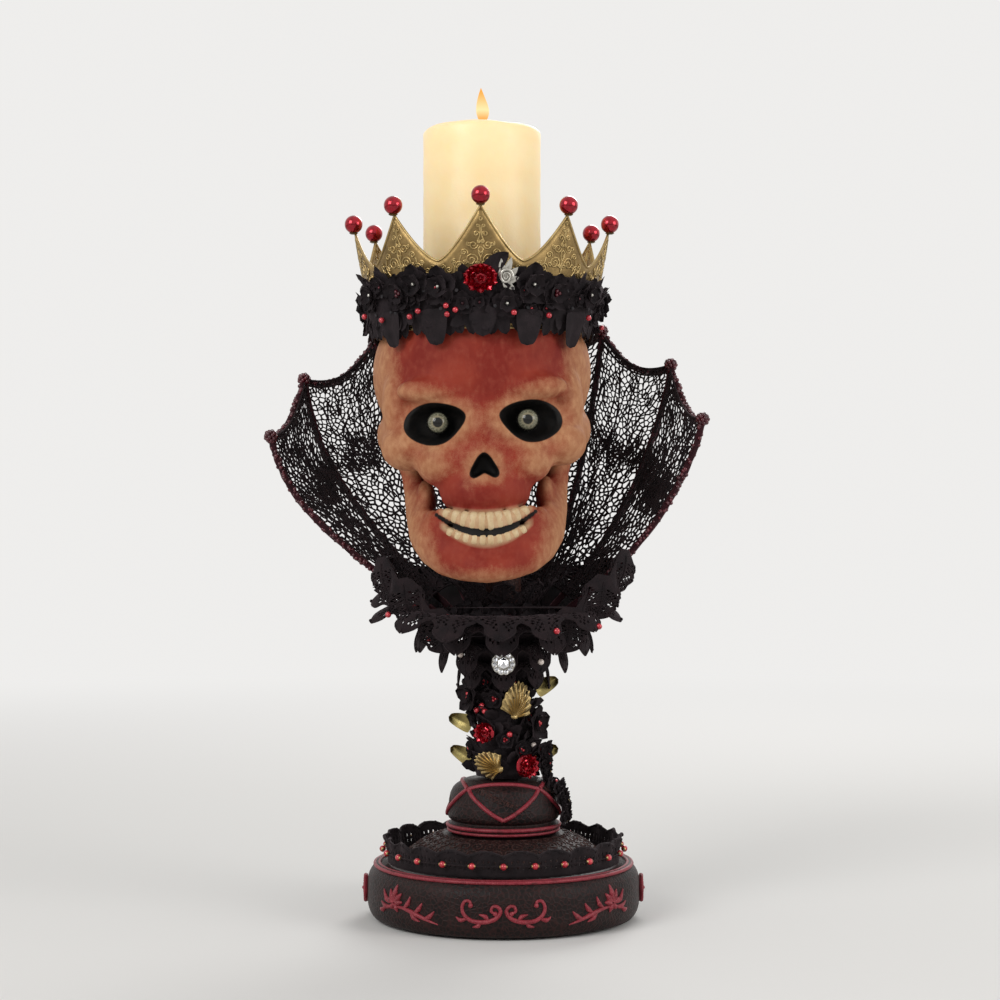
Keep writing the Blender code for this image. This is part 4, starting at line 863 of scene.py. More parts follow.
# %% [markdown]
# ## The trim on the bell
# A strand of small black flowers and beads hangs over the right side of the bell and ends in a
# small gold drop. Real trim is sewn on a tape. Here small flowers and leaves are placed one by one
# along the line, each facing outward from the bell, with the spacing a little uneven.

# %% Hang the strand
STEM_BOTTOM = PEDESTAL_TOP + CLEARANCE
GARLAND_RADIUS = 0.0225
rng = random.Random(3)
trim = Heap()
tape = []
for i in range(15):
    share = i / 14
    height = PEDESTAL_TOP + 0.020 - share * 0.0438
    seat = max(bell_radius(min(height, PEDESTAL_TOP)) + 0.0013, GARLAND_RADIUS) + 0.0016
    azimuth = 78 + 10 * share
    tape.append(round_point(azimuth, seat, height))
    lean_in = azimuth - 16 + rng.uniform(-5, 5)
    flower(trim, outward(lean_in, seat + 0.0004, height, spin=rng.uniform(0, 70)), 0.0056, 5, rng, 20, 2, 1, 0.0011)
    if i % 2 == 0:
        flower(trim, outward(azimuth + rng.uniform(-5, 5), seat + 0.0008, height, spin=rng.uniform(0, 70)), 0.0062, 5,
               rng, 20, 2, 1, 0.0012)
    else:
        for side in (-1, 1):
            leaf_at = outward(azimuth, seat + 0.0012, height, spin=side * rng.uniform(70, 120))
            trim.add(petal(0.0085, 0.0050, curl=0.0015), leaf_at @ turn(18, "X"), 0)
        trim.add(BEAD, outward(azimuth + rng.uniform(-6, 6), seat + 0.0035, height) @ Matrix.Scale(0.0014, 4),
                 1 + i % 3 // 2)
trim.add(cord(tape, 0.0014, 6))
drop = round_point(88, bell_radius(PEDESTAL_BOTTOM + 0.012) + 0.0040, PEDESTAL_BOTTOM + 0.0095)
trim.add(ball(0.0024, 3, (1, 1, 1.5)), Matrix.Translation(drop), 2)
piece("pedestal_trim", trim, [VELVET, RED_BEAD, OLD_GOLD], ["pedestal_strand"])

# %% [markdown]
# ## The garland on the post
# The post is wound with velvet leaves and flowers so closely that it can't be seen. A hair or
# scatter system could spread them. A short loop with a fixed seed does the same and always gives
# the same garland: a soft inner sleeve first, then leaves that lean out, then flowers and beads.

# %% Wind the garland
GARLAND_HEIGHT = 0.061
rng = random.Random(11)
garland = Heap()
sleeve = [(0.0170 + 0.0012 * math.sin(i * 2.1), 0.0012 + 0.0586 * i / 20) for i in range(21)]
sleeve = [(0.0120, 0.0)] + sleeve + [(0.0120, GARLAND_HEIGHT)]
sleeve = [(r, STEM_BOTTOM + CLEARANCE + z) for r, z in sleeve]


def uneven_sleeve(angle, radius, height):
    return radius * (1 + 0.05 * math.sin(5 * angle + height * 400)) if radius > 0.013 else radius, height


garland.add(turned(sleeve + sleeve[:1], 40, uneven_sleeve))
for i in range(96):
    azimuth = 360 * scattered(i)
    height = STEM_BOTTOM + 0.004 + 0.050 * scattered(i, 0.754878)
    place = outward(azimuth, 0.0165, height, lean=rng.uniform(-12, 10), spin=rng.uniform(-75, 75))
    size = rng.uniform(0.010, 0.014)
    garland.add(petal(size, size * 0.62, curl=size * 0.2, teeth=3, tip=1.15, rows=8),
                place @ turn(rng.uniform(20, 42), "X"))
for i in range(18):
    azimuth = 360 * scattered(i, start=0.3)
    height = STEM_BOTTOM + 0.006 + 0.048 * scattered(i, 0.569840)
    flower(garland, outward(azimuth, 0.0185, height, lean=rng.uniform(-15, 15)), rng.uniform(0.0062, 0.0082), 5, rng,
           22)
for i in range(34):
    azimuth, height = 360 * scattered(i, start=0.15), STEM_BOTTOM + 0.050 + 0.015 * scattered(i, 0.754878)
    place = outward(azimuth, 0.0135, height, lean=rng.uniform(-18, 0), spin=rng.uniform(-60, 60))
    garland.add(petal(0.0125, 0.0085, curl=0.002, teeth=3, tip=0.9, rows=8), place @ turn(rng.uniform(25, 55), "X"))
for i in range(6):
    flower(garland, outward(60 * i + 20, 0.0165, STEM_BOTTOM + 0.0625, lean=-8), 0.0078, 5, rng, 22)
GARLAND_BEADS = ((-50, 0.045, 1), (-32, 0.0445, 1), (-38, 0.048, 1), (10, 0.030, 1), (60, 0.022, 2),
                 (-75, 0.020, 1), (130, 0.04, 1), (-150, 0.03, 1))
for azimuth, up, kind in GARLAND_BEADS:
    garland.add(ball(0.0019, 3), outward(azimuth, 0.0225, STEM_BOTTOM + up), kind)
piece("stem_garland_dressed", garland, [VELVET, RED_BEAD, PEARL_BEAD], ["stem_garland"])

# %% Three larger flowers on the post
for i, (azimuth, up) in enumerate(((-62, 0.0540), (62, 0.0360), (165, 0.0400)), 1):
    bloom = Heap()
    flower(bloom, outward(azimuth, GARLAND_RADIUS + CLEARANCE, STEM_BOTTOM + up), 0.0118, 5, rng, 12, 2, 3, 0.0015)
    piece(f"stem_flower_{i}_velvet", bloom, [VELVET, RED_BEAD], [f"stem_flower_{i}"])

# %% [markdown]
# ## Gold petals, shells and red rosettes on the post
# These are small stampings of metal: curled petals with a middle groove, scallop shells with ribs
# that fan out from the hinge, and rosettes of many petals in red metal. The shell is a fan of
# columns whose height follows a wave, which is quicker and cleaner than sculpting it.

# %% Stamp the gold petals
GOLD_PETALS = ((92, 0.0575, -62), (100, 0.0150, -75), (-98, 0.0345, 70), (-100, 0.0120, 60))
for i, (azimuth, up, spin) in enumerate(GOLD_PETALS, 1):
    to_front = -58 if azimuth > 0 else 58
    place = outward(azimuth, GARLAND_RADIUS - 0.0015, STEM_BOTTOM + up - 0.001) @ turn(to_front, "Y") @ turn(spin)
    shape = petal(0.0150, 0.0120, 0.0009, curl=0.0036, cup=0.0030, tip=0.62, vein=0.06, rows=16, columns=12)
    leaf = Heap().add(shape, place)
    piece(f"gold_petal_{i}_stamped", leaf, [OLIVE_GOLD], [f"gold_petal_{i}"])


# %% Stamp the shells
def shell(width, height, depth, ribs=11, rows=14, columns=66):
    """A scallop shell that faces +Z with its hinge below: ribs fan out, and growth lines cross them."""
    points, faces = [], []
    for r in range(rows + 1):
        s = r / rows
        for c in range(columns + 1):
            u = c / columns
            fan = math.radians(-78 + 156 * u)
            rib = math.cos(2 * math.pi * ribs * u)
            reach = s * (1 + 0.035 * rib) * (0.80 + 0.20 * math.cos(fan))
            x, y = math.sin(fan) * reach * width / 2 * 1.06, -height / 2 + math.cos(fan) * reach * height
            crown_of_it = math.sin(math.pi * min(0.12 + s * 0.80, 1.0))
            z = depth * crown_of_it * (0.86 + 0.14 * rib * min(3 * s, 1)) + 0.00012 * math.sin(s * 46)
            points.append((x, y, z))
    wide = columns + 1
    top = len(points)
    points += [(x, y, z * 0.55 - 0.0004) for x, y, z in points]
    for r in range(rows):
        for c in range(columns):
            a = r * wide + c
            faces.append((a, a + wide, a + wide + 1, a + 1))
            faces.append((top + a, top + a + 1, top + a + wide + 1, top + a + wide))
    rim = [r * wide for r in range(rows)] + [rows * wide + c for c in range(columns)]
    rim += [r * wide + columns for r in range(rows, 0, -1)] + [c for c in range(columns, 0, -1)]
    faces += [(a, b, top + b, top + a) for a, b in zip(rim, rim[1:] + rim[:1])]
    return points, faces


for i, (azimuth, up, size, spin) in enumerate(((22, 0.0520, 1.0, -12), (-24, 0.0110, 0.85, 70)), 1):
    place = outward(azimuth, GARLAND_RADIUS + 0.0004, STEM_BOTTOM + up, spin=spin)
    size *= 1.12
    stamped = Heap().add(shell(0.0205 * size, 0.0205 * size, 0.0038), place)
    stamped.add(ball(0.0016, 2, (1.6, 1, 0.8)), place @ move(0, -0.0098 * size, 0.0012))
    piece(f"gold_shell_{i}_ribbed", stamped, [OLD_GOLD], [f"gold_shell_{i}"])


# %% Build the red rosettes
def rosette(place, radius, depth, stretch=1.0):
    """Three rings of small cupped petals round a bead, on a low disc."""
    heap = Heap()
    place = place @ Matrix.Diagonal((stretch, 1, 1, 1))
    disc = [(0.0002, depth * 0.5), (radius * 0.7, depth * 0.42), (radius * 0.86, 0.0002), (0.0002, 0.0)]
    heap.add(turned(disc, 32), place)
    for count, reach, size, lift in ((10, 0.50, 0.50, 14), (8, 0.28, 0.44, 32), (5, 0.08, 0.34, 52)):
        shape = petal(radius * size, radius * size * 0.95, 0.0007, curl=radius * 0.10, cup=radius * 0.14, tip=0.8,
                      vein=-0.06)
        for i in range(count):
            rise = depth * (0.30 + 0.4 * (1 - reach))
            spot = turn(360 * (i + 0.5 * (count % 4 == 0)) / count) @ move(0, radius * reach, rise)
            heap.add(shape, place @ spot @ turn(lift, "X"))
    heap.add(BEAD, place @ move(0, 0, depth * 0.9) @ Matrix.Scale(radius * 0.16, 4))
    return heap


for i, (azimuth, up, size) in enumerate(((-30, 0.0310, 0.85), (38, 0.0095, 1.0)), 1):
    place = outward(azimuth, GARLAND_RADIUS + CLEARANCE, STEM_BOTTOM + up)
    piece(f"red_rosette_{i}_petals", rosette(place, 0.0086 * size, 0.0048), [RED_GLAZE], [f"red_rosette_{i}"])

# %% [markdown]
# ## The collar's wires
# Bent wires start at a hoop on the post and open out like a bowl. They are wrapped in dark cord,
# and the scalloped edge and the tips are sewn over with small wine red beads. The same few curves
# as in the solid model place everything, and each bead is a real ball: at this size a bump alone
# would leave a straight outline.

# %% The bowl that the wires follow
HOOP_HEIGHT = PEDESTAL_TOP + 0.0900
POST_RADIUS, HOOP_WIRE = 0.0114, 0.0024
HOOP_RADIUS = (POST_RADIUS + CLEARANCE + HOOP_WIRE) / math.cos(math.pi / 14)
RIB_AZIMUTHS = (97, 122, 147, 169)
RIBS = sorted(list(RIB_AZIMUTHS) + [360 - a for a in RIB_AZIMUTHS])


def signed(azimuth):
    return azimuth if azimuth <= 180 else azimuth - 360


def rib_tip(azimuth):
    share = min(max((abs(azimuth) - 97) / 72, 0.0), 1.0)
    return 0.1430 + 0.006 * math.sin(share * math.pi), HOOP_HEIGHT + 0.1380 + 0.0790 * math.sin(share * math.pi / 2)


def on_collar(azimuth, t, inward=0.0):
    """A point of the bowl: t runs from the hoop (0) to the tip line (1)."""
    azimuth = signed(azimuth)
    reach, top = rib_tip(azimuth)
    blend = 2 * (1 - t) * t
    radius = HOOP_RADIUS + (reach - HOOP_RADIUS) * (blend * 0.90 + t * t) - inward * math.sqrt(0.5)
    height = HOOP_HEIGHT + (top - HOOP_HEIGHT) * (blend * 0.50 + t * t) + inward * math.sqrt(0.5)
    point = round_point(azimuth, radius, height)
    return point + Vector((-0.011 * min(t * 1.4, 1.0), 0, 0.040 * point.x * t))


def edge_share(azimuth):
    for a, b in zip(RIBS, RIBS[1:]):
        if a <= azimuth <= b:
            return 1 - 0.085 * math.sin(math.pi * (azimuth - a) / (b - a)) ** 0.8
    return 1.0


# %% Wrap the wires and sew on the beads
rng = random.Random(5)
wires = Heap()
hoop = [round_point(6 * i, HOOP_RADIUS, HOOP_HEIGHT) for i in range(60)]
wires.add(cord(hoop, 0.0022, 10, closed=True, strands=2, lay=0.005))
for azimuth in RIBS:
    line = [on_collar(azimuth, i / 60) for i in range(61)]
    wires.add(cord(line, 0.0021, 9, strands=3, lay=0.009))
edge_line = []
for a, b in zip(RIBS, RIBS[1:]):
    for k in range(40):
        azimuth = a + (b - a) * k / 40
        edge_line.append(on_collar(azimuth, edge_share(azimuth)))
edge_line.append(on_collar(RIBS[-1], 1.0))
wires.add(cord(edge_line, 0.0019, 8))


def bead_sleeve(heap, line, reach, size, gap, kind):
    """Beads sewn all round a line, spaced by gap metres along it."""
    run, due = 0.0, 0.0
    for a, b in zip(line, line[1:]):
        step = (b - a).length
        along = (b - a).normalized()
        side = along.orthogonal().normalized()
        while due < run + step:
            out = Matrix.Rotation(rng.uniform(0, 2 * math.pi), 3, along) @ side
            spot = a + along * (due - run) + out * reach * rng.uniform(0.75, 1.0)
            grown = size * rng.uniform(0.75, 1.2)
            heap.add(BEAD, sized(spot, grown), kind)
            due += gap
        run += step


bead_sleeve(wires, edge_line, 0.0017, 0.00145, 0.00105, 1)
for azimuth in (RIBS[0], RIBS[-1]):
    line = [on_collar(azimuth, 0.30 + 0.70 * i / 40) for i in range(41)]
    bead_sleeve(wires, line, 0.0017, 0.0014, 0.0014, 1)
for azimuth in RIBS:
    tip = on_collar(azimuth, 1.0)
    for i in range(26):
        z = 1 - 2 * (i + 0.5) / 26
        a = 2.39996 * i
        out = Vector((math.cos(a) * math.sqrt(1 - z * z), math.sin(a) * math.sqrt(1 - z * z), z))
        wires.add(BEAD, sized(tip + out * 0.0034, 0.00155), 1)
piece("collar_wires", wires, [WINE_CORD, WINE_BEAD], ["collar_frame"])

# %% [markdown]
# ## The lace net of the collar
# Between the wires hangs a crazy net: uneven cells like a spider's web, with a denser band across
# the middle and longer threads over it. An image with holes would look right only from afar. The
# cells come from scattered spots: where three spots are equally near, threads meet. Blender can
# join scattered spots into triangles, and the middles of neighbouring triangles are those places.

# %% Where the net hangs
LACE_START = 0.16
rng = random.Random(7)


def on_net(bay, u, v):
    """A point of the net: u runs across a bay from wire to wire, v from the foot to the edge."""
    a, b = RIBS[bay], RIBS[bay + 1]
    azimuth = a + (b - a) * u
    top = edge_share(azimuth) - 0.004
    sag = math.sin(math.pi * min(max(u, 0), 1)) ** 0.6
    return on_collar(azimuth, LACE_START + (top - LACE_START) * v, 0.0012 + 0.0034 * sag)


def cell_size(v):
    """Cells are about 4 mm wide, and smaller in the two dense bands."""
    dense = math.exp(-((v - 0.60) / 0.055) ** 2) + 0.6 * math.exp(-((v - 0.05) / 0.06) ** 2)
    dense += 0.5 * math.exp(-((v - 1.0) / 0.03) ** 2)
    return 0.0040 - 0.0016 * min(dense, 1.0)


def cell_corners(bay):
    """Places where the net's threads meet, and which of them are joined."""
    levels = [on_net(bay, 0.5, k / 20) for k in range(21)]
    height = sum((q - p).length for p, q in zip(levels, levels[1:]))
    widths = [(on_net(bay, 1, k / 20) - on_net(bay, 0, k / 20)).length for k in range(21)]

    def width_at(y):
        return float(np.interp(y / height, [k / 20 for k in range(21)], widths))

    kept = np.zeros((0, 2))
    reach = np.zeros(0)
    for _ in range(7000):
        y = rng.random() * height
        x = (rng.random() - 0.5) * widths[-1] * 1.06
        if abs(x) > width_at(y) * 0.53:
            continue
        size = cell_size(y / height) * rng.uniform(0.42, 1.2)
        if not len(kept) or (np.hypot(kept[:, 0] - x, kept[:, 1] - y) > 0.5 * (reach + size)).all():
            kept = np.vstack([kept, (x, y)])
            reach = np.append(reach, size)
    spots, _, triangles, *_ = delaunay_2d_cdt([Vector(p) for p in kept], [], [], 0, 1e-7)
    corners, seen_sides = [], {}
    for number, (i, j, k) in enumerate(triangles):
        (ax, ay), (bx, by), (cx, cy) = spots[i], spots[j], spots[k]
        twice = 2 * (ax * (by - cy) + bx * (cy - ay) + cx * (ay - by)) or 1e-9
        aa, bb, cc = ax * ax + ay * ay, bx * bx + by * by, cx * cx + cy * cy
        x = (aa * (by - cy) + bb * (cy - ay) + cc * (ay - by)) / twice
        y = (aa * (cx - bx) + bb * (ax - cx) + cc * (bx - ax)) / twice
        y = min(max(y, 0.0), height)
        corners.append((min(max(x / width_at(y) + 0.5, 0.0), 1.0), y / height))
        for side in ((i, j), (j, k), (k, i)):
            seen_sides.setdefault(frozenset(side), []).append(number)
    return corners, [pair for pair in seen_sides.values() if len(pair) == 2]


# %% Knot the cells and lay long threads over them
def wandering(bay, start, end, sway, points):
    """A thread from start to end, both (u, v), that sways on its way."""
    dx, dy = end[0] - start[0], end[1] - start[1]
    phase, beat = rng.uniform(0, 6.28), rng.uniform(1.0, 2.6)
    line = []
    for i in range(points):
        s = i / (points - 1)
        off = sway * math.sin(2 * math.pi * beat * s + phase) * math.sin(math.pi * s)
        u, v = start[0] + dx * s - dy * off, start[1] + dy * s + dx * off
        line.append(on_net(bay, min(max(u, 0.0), 1.0), min(max(v, 0.0), 1.0)))
    return line


net = Heap()
for bay in range(len(RIBS) - 1):
    corners, joined = cell_corners(bay)
    places = [on_net(bay, u, v) for u, v in corners]
    for first, second in joined:
        a, b = places[first], places[second]
        if 0.0002 < (b - a).length < 0.011:
            # threads are thicker towards the foot, where the real net is denser
            denser_below = 1 + 0.60 * (1 - min(max(corners[first][1], 0), 1)) ** 1.5
            net.add(cord((a, b), rng.uniform(0.00042, 0.00078) * denser_below, 3))
    for i in range(54):
        u, v = rng.random(), rng.random() ** 0.8
        end = (u + rng.uniform(-0.6, 0.6), v + rng.uniform(-0.22, 0.22))
        net.add(cord(wandering(bay, (u, v), end, rng.uniform(0.1, 0.4), 9), 0.00058, 3))
    for i in range(46):
        u, v = rng.random(), 0.60 + rng.gauss(0, 0.035)
        end = (u + rng.uniform(-0.35, 0.35), v + rng.uniform(-0.05, 0.05))
        net.add(cord(wandering(bay, (u, v), end, 0.25, 6), 0.00062, 3))
    for level in (0.0, 0.97, 1.0):
        line = [on_net(bay, i / 14, level) for i in range(15)]
        net.add(cord(line, 0.0007, 5))
lace = piece("collar_net", net, [THREAD], ["collar_lace"])

# %% [markdown]
# ## The neck ruff
# Four tiers of stiff lace leaves fall like an upturned cone below the chin, and a small frill
# stands up round the post to hide it. Twelve loose leaves hang from the upper tier, and velvet
# flowers and beads are sewn between. Each leaf of such lace has a corded outline, a midrib and
# side veins, with open stitches between. A flat sheet with a picture of lace would lose them at
# its edge. So each tier is a thin closed sheet, cut to toothed leaves and pierced, and the cords
# are laid on its outer side.

# %% How the tiers bend
RUFF_TIERS = (
    (0.0080, (0.0460, 0.0190), (0.0620, 0.0085), 11),
    (0.0165, (0.0340, 0.0150), (0.0460, 0.0040), 10),
    (0.0250, (0.0250, 0.0110), (0.0335, 0.0020), 8),
)


def bowed(start, crest, tip, share):
    a, b, c = (1 - share) ** 2, 2 * (1 - share) * share, share * share
    peak = [2 * crest[k] - 0.5 * (start[k] + tip[k]) for k in (0, 1)]
    return [a * start[k] + b * peak[k] + c * tip[k] for k in (0, 1)]


def low_tier(tier):
    drop, crest, tip, _ = RUFF_TIERS[tier]

    def point(azimuth, share, proud=0.0):
        radius, rise = bowed((0.0127, 0), crest, tip, share)
        height = HOOP_HEIGHT - drop + rise - 0.009 * share**3 + proud
        return round_point(azimuth, radius - 0.004 * share**4 + 0.3 * proud, height)

    return point


def inner_tier(azimuth, share, proud=0.0):
    """The frill that stands up round the post and hides it below the chin."""
    radius, rise = bowed((0.0127, 0), (0.0235, 0.0195), (0.0350, 0.0330), share)
    return round_point(azimuth, radius + 0.5 * proud, HOOP_HEIGHT + 0.0057 + rise - 0.5 * proud)


def top_tier(azimuth, share, proud=0.0):
    """The upper tier lies under the collar and droops at its tips."""
    azimuth %= 360
    front = 0.5 + 0.5 * math.cos(math.radians(azimuth))
    t = 0.10 + (0.37 - 0.12 * front**1.5 - 0.10) * share
    return on_collar(azimuth, t, -0.0038 - proud) - Vector((0, 0, 0.030 * share**2.5))


# %% Cut the leaves and lay their cords
def leaf_width(share):
    """How much of its pitch a leaf fills, from the joined foot to its toothed tip."""
    if share < 0.30:
        return 1.0
    q = (share - 0.30) / 0.70
    return max((1 - q**2.8) ** 0.65 * (1 + 0.16 * math.sin(q * 5 * math.pi)), 0.04)


def lace_tier(name, point_at, leaves, seed):
    rng = random.Random(seed)
    sway = [(rng.uniform(-2.5, 2.5), rng.uniform(-0.0015, 0.0015)) for _ in range(leaves)]
    half, columns, rows = 180 / leaves, 12, 22

    def place(leaf, u, share, proud=0.0):
        twist, lift = sway[leaf % leaves]
        azimuth = 2 * half * leaf + half * u * leaf_width(share) + twist * share * share
        cup = 0.0016 * (1 - u * u) * share
        return point_at(azimuth, share, proud) + Vector((0, 0, lift * share * share + cup))

    holes = {(leaf, c, r) for leaf in range(leaves) for r in range(7, rows - 2) for c in (1, 2, 3, 4, 7, 8, 9, 10)
             if rng.random() < 0.88 and (r + min(c, 11 - c)) % 2}
    cut = Heap()
    for leaf in range(leaves):
        sheet = skinned(lambda u, s: place(leaf, 2 * u - 1, s), columns, rows, 0.0008, around=False,
                        keep=lambda c, r: (leaf, c, r) not in holes)
        cut.add(([v.co.copy() for v in sheet.data.vertices], [tuple(p.vertices) for p in sheet.data.polygons]))
        bpy.data.objects.remove(sheet)
    nodes = [name] if name.startswith("neck") else []
    cloth_piece = piece(name + "_lace", cut, [THREAD], nodes, crease=80)
    cords = Heap()
    tips = []
    for leaf in range(leaves):
        for side in (-1, 1):
            line = [place(leaf, side, 0.25 + 0.75 * i / 22, 0.0003) for i in range(23)]
            cords.add(cord(line, 0.00062, 4))
            for start in (0.34, 0.46, 0.58, 0.70, 0.82):
                vein = [place(leaf, side * 0.92 * s, min(start + 0.13 * s, 0.98), 0.0006) for s in (0, 0.35, 0.7, 1)]
                cords.add(cord(vein, 0.00040, 3))
        line = [place(leaf, 0, 0.15 + 0.85 * i / 10, 0.0006) for i in range(11)]
        cords.add(cord(line, 0.00055, 4))
        tips.append(place(leaf, 0, 1.0, 0.0006))
        cords.add(BEAD, sized(tips[-1], 0.0012))
    cord_piece = piece(name + "_cords", cords, [THREAD])
    print(name, "takes", round(area_of(cloth_piece) * 1e4, 1), "square cm")
    return cloth_piece, cord_piece, tips


HANGING = ((-84, 0.079, 0.2330, 34), (-66, 0.070, 0.2200, 40), (-47, 0.058, 0.2010, 26), (47, 0.058, 0.2020, -26),
           (66, 0.070, 0.2220, -40), (86, 0.079, 0.2380, -34), (112, 0.078, 0.232, 0), (140, 0.074, 0.226, 0),
           (170, 0.072, 0.224, 0), (-160, 0.073, 0.224, 0), (-132, 0.074, 0.226, 0), (-108, 0.078, 0.232, 0))


def hanging_leaf(azimuth, share, proud=0.0):
    """Loose leaves that hang from the upper tier, each turned a little towards the front."""
    pitch = 360 / len(HANGING)
    leaf = round(azimuth / pitch)
    across = (azimuth - leaf * pitch) / pitch * min(1.0, 0.30 + 1.9 * share)
    around, radius, height, twist = HANGING[leaf % len(HANGING)]
    place = outward(around, radius, height, lean=14) @ turn(twist, "Y")
    bulge = 0.003 * math.sin(math.pi * share) - 0.006 * across**2
    return place @ Vector((0.030 * across, -0.029 * share, bulge + proud))


ruff_tips = []
for name, point_at, leaves, flat in (
    ("neck_ruff_1", top_tier, 13, (0.30, 0.060)), ("neck_ruff_2", low_tier(0), 11, (0.26, 0.052)),
    ("neck_ruff_3", low_tier(1), 10, (0.19, 0.037)), ("neck_ruff_4", low_tier(2), 8, (0.14, 0.025)),
    ("neck_ruff_inner", inner_tier, 9, (0.16, 0.040)), ("ruff_hanging", hanging_leaf, 12, (0.360, 0.029)),
):
    lace_leaves, lace_cords, tips = lace_tier(name, point_at, leaves, len(ruff_tips))
    ruff_tips += tips
    ratio = area_of(lace_leaves) / (flat[0] * flat[1])
    print(name, "cloth over cut:", round(ratio, 2))

# %% Velvet flowers and beads on the ruff
rng = random.Random(31)
blooms = Heap()
for i in range(13):
    azimuth = 360 * i / 13 + rng.uniform(-6, 6)
    seat = low_tier(0)(azimuth, 0.40)
    reach = math.hypot(seat.x, seat.y)
    flower(blooms, outward(azimuth, reach, seat.z + 0.0016, lean=-52), rng.uniform(0.0095, 0.0115), 5, rng, 24, 2, 1,
           0.0014)
    flower(blooms, outward(azimuth + 14, reach * 0.62, seat.z + 0.0060, lean=-40), rng.uniform(0.0090, 0.0110), 5, rng,
           26, 2, 1, 0.0014)
piece("ruff_flowers", blooms, [VELVET, WINE_BEAD])
drops = Heap()
RUFF_BEADS = ((-73.7, 196, 0), (-47.7, 182, 0), (-54.2, 214, 0), (14, 199, 0), (46, 209, 0), (-25.9, 172, 1),
              (23.5, 176, 1), (23.5, 167, 1), (-23.2, 165, 0), (60, 190, 0), (-8, 186, 0), (33, 188, 0), (-35, 196, 0))
ruff_spots = [o for o in bpy.context.scene.objects if o.name.startswith("neck_ruff") and o.name.endswith("_cords")]
ruff_spots = [v.co for o in ruff_spots for v in o.data.vertices if v.co.y < 0.01]
for x, z, kind in RUFF_BEADS:
    near = min(ruff_spots, key=lambda p: (p.x * 1000 - x) ** 2 + (p.z * 1000 - z) ** 2)
    drops.add(ball(0.0020, 3), Matrix.Translation(near + Vector((0, -0.0014, 0))), kind)
piece("ruff_beads", drops, [RED_BEAD, PEARL_BEAD])

# %% [markdown]
# ## The brooch
# A ring of cut stones with a three cornered one in the middle is pinned below the chin. Real cut
# stones have a flat table and slanted facets, and foil behind them. A low faceted cone with flat
# shading and a bright mirror finish gives that glitter; clear glass would show the dark cloth.

# %% Cut the stones and set them
def cut_stone(radius, sides=8, height=0.55):
    """A cut stone that faces +Z: girdle, slanted crown and flat table."""
    rings = ((radius * 0.92, -0.2), (radius, 0.0), (radius * 0.86, 0.28), (radius * 0.52, height))
    points, faces = [], []
    for k, (r, z) in enumerate(rings):
        for i in range(sides):
            a = 2 * math.pi * (i + 0.5 * (k % 2)) / sides
            points.append((r * math.cos(a), r * math.sin(a), z * radius))
    for k in range(len(rings) - 1):
        for i in range(sides):
            low, high, j = k * sides, (k + 1) * sides, (i + 1) % sides
            if k % 2 == 0:
                faces += [(low + i, high + i, high + (i - 1) % sides), (low + i, low + j, high + i)]
            else:
                faces += [(low + i, low + j, high + j), (low + i, high + j, high + i)]
    faces.append(tuple(reversed(range(sides))))
    faces.append(tuple((len(rings) - 1) * sides + i for i in range(sides)))
    return points, faces


BROOCH_REACH, BROOCH_HEIGHT = 0.0460 + 0.00035 + CLEARANCE, HOOP_HEIGHT - 0.0165 + 0.0040
brooch_place = outward(0, BROOCH_REACH, BROOCH_HEIGHT)
setting = Heap()
setting.add(turned([(0.0002, 0.0012), (0.0068, 0.0012), (0.0074, 0.0006), (0.0072, 0.0), (0.0002, 0.0)], 36),
            brooch_place, 1)
for i in range(11):
    spot = brooch_place @ turn(360 * i / 11) @ move(0, 0.0056, 0.0014)
    setting.add(cut_stone(0.00155), spot, 0)
    setting.add(cord([(0.0017 * math.cos(k * 0.6), 0.0017 * math.sin(k * 0.6), 0) for k in range(10)], 0.0003, 4), spot,
                1)
piece("brooch_ring", setting, [STONE, OLD_SILVER], ["brooch"], crease=8)
stone = Heap().add(cut_stone(0.0037, 3, 0.6), brooch_place @ turn(30) @ move(0, 0, 0.0029))
stone.add(cut_stone(0.0016, 8), brooch_place @ move(0, 0.0084, 0.0012), 0)
piece("brooch_stone_cut", stone, [STONE], ["brooch_stone"], crease=8)

# %% [markdown]
# ## The skull casting
# The real skull is a hollow resin casting, smoothed and then painted. Sculpting it by hand can't
# be repeated in a script. Instead the same rounded masses as in the solid model are piled up, the
# pile is turned into one skin with a fine voxel remesh, and smoothing melts the joins. Sockets,
# nose and mouth are cut after that, so that their rims stay crisp.

# %% Where the head sits
HEAD_X, HEAD_TILT, SKULL_CENTRE = -0.0140, -2.0, 0.3519
STEM_TOP = STEM_BOTTOM + 0.216
HEAD_PLACE = Matrix.Translation((HEAD_X, 0, SKULL_CENTRE)) @ turn(HEAD_TILT, "Y")
MIDDLE_MASSES = (
    (0, 2, 0, 71, 70, 62), (0, -20, 10, 60, 48, 50), (0, 30, -14, 62, 42, 44), (0, -41, -34, 53, 28, 27),
    (0, -60, -38, 8, 11, 20), (0, -49, -76, 29, 24, 20), (0, -46, -58, 31, 25, 20), (0, -70, -125, 18, 9, 9),
)
SIDE_MASSES = ((30, -55, -13, 24, 12, 9), (53, -34, -22, 11, 17, 24), (48, -42, -48, 17, 18, 15),
               (26, -52, -58, 17, 15, 16))
CHEEK_ARCH = ((52, -38, -42, 11, 13, 12), (61, -18, -40, 7, 11, 12), (63, 6, -38, 7, 11, 12))
JAW = (
    (0, -65, -121, 13, 10, 13.5), (14, -64, -119, 12, 10, 14), (26, -57, -115, 11, 11, 14.5),
    (36, -45, -108, 9, 12, 15), (42, -31, -100, 8, 12, 15), (44, -15, -89, 8, 13, 14), (45, -5, -75, 8, 13, 14),
    (47, 1, -60, 8, 13, 14), (53, 2, -44, 8, 12, 12),
)


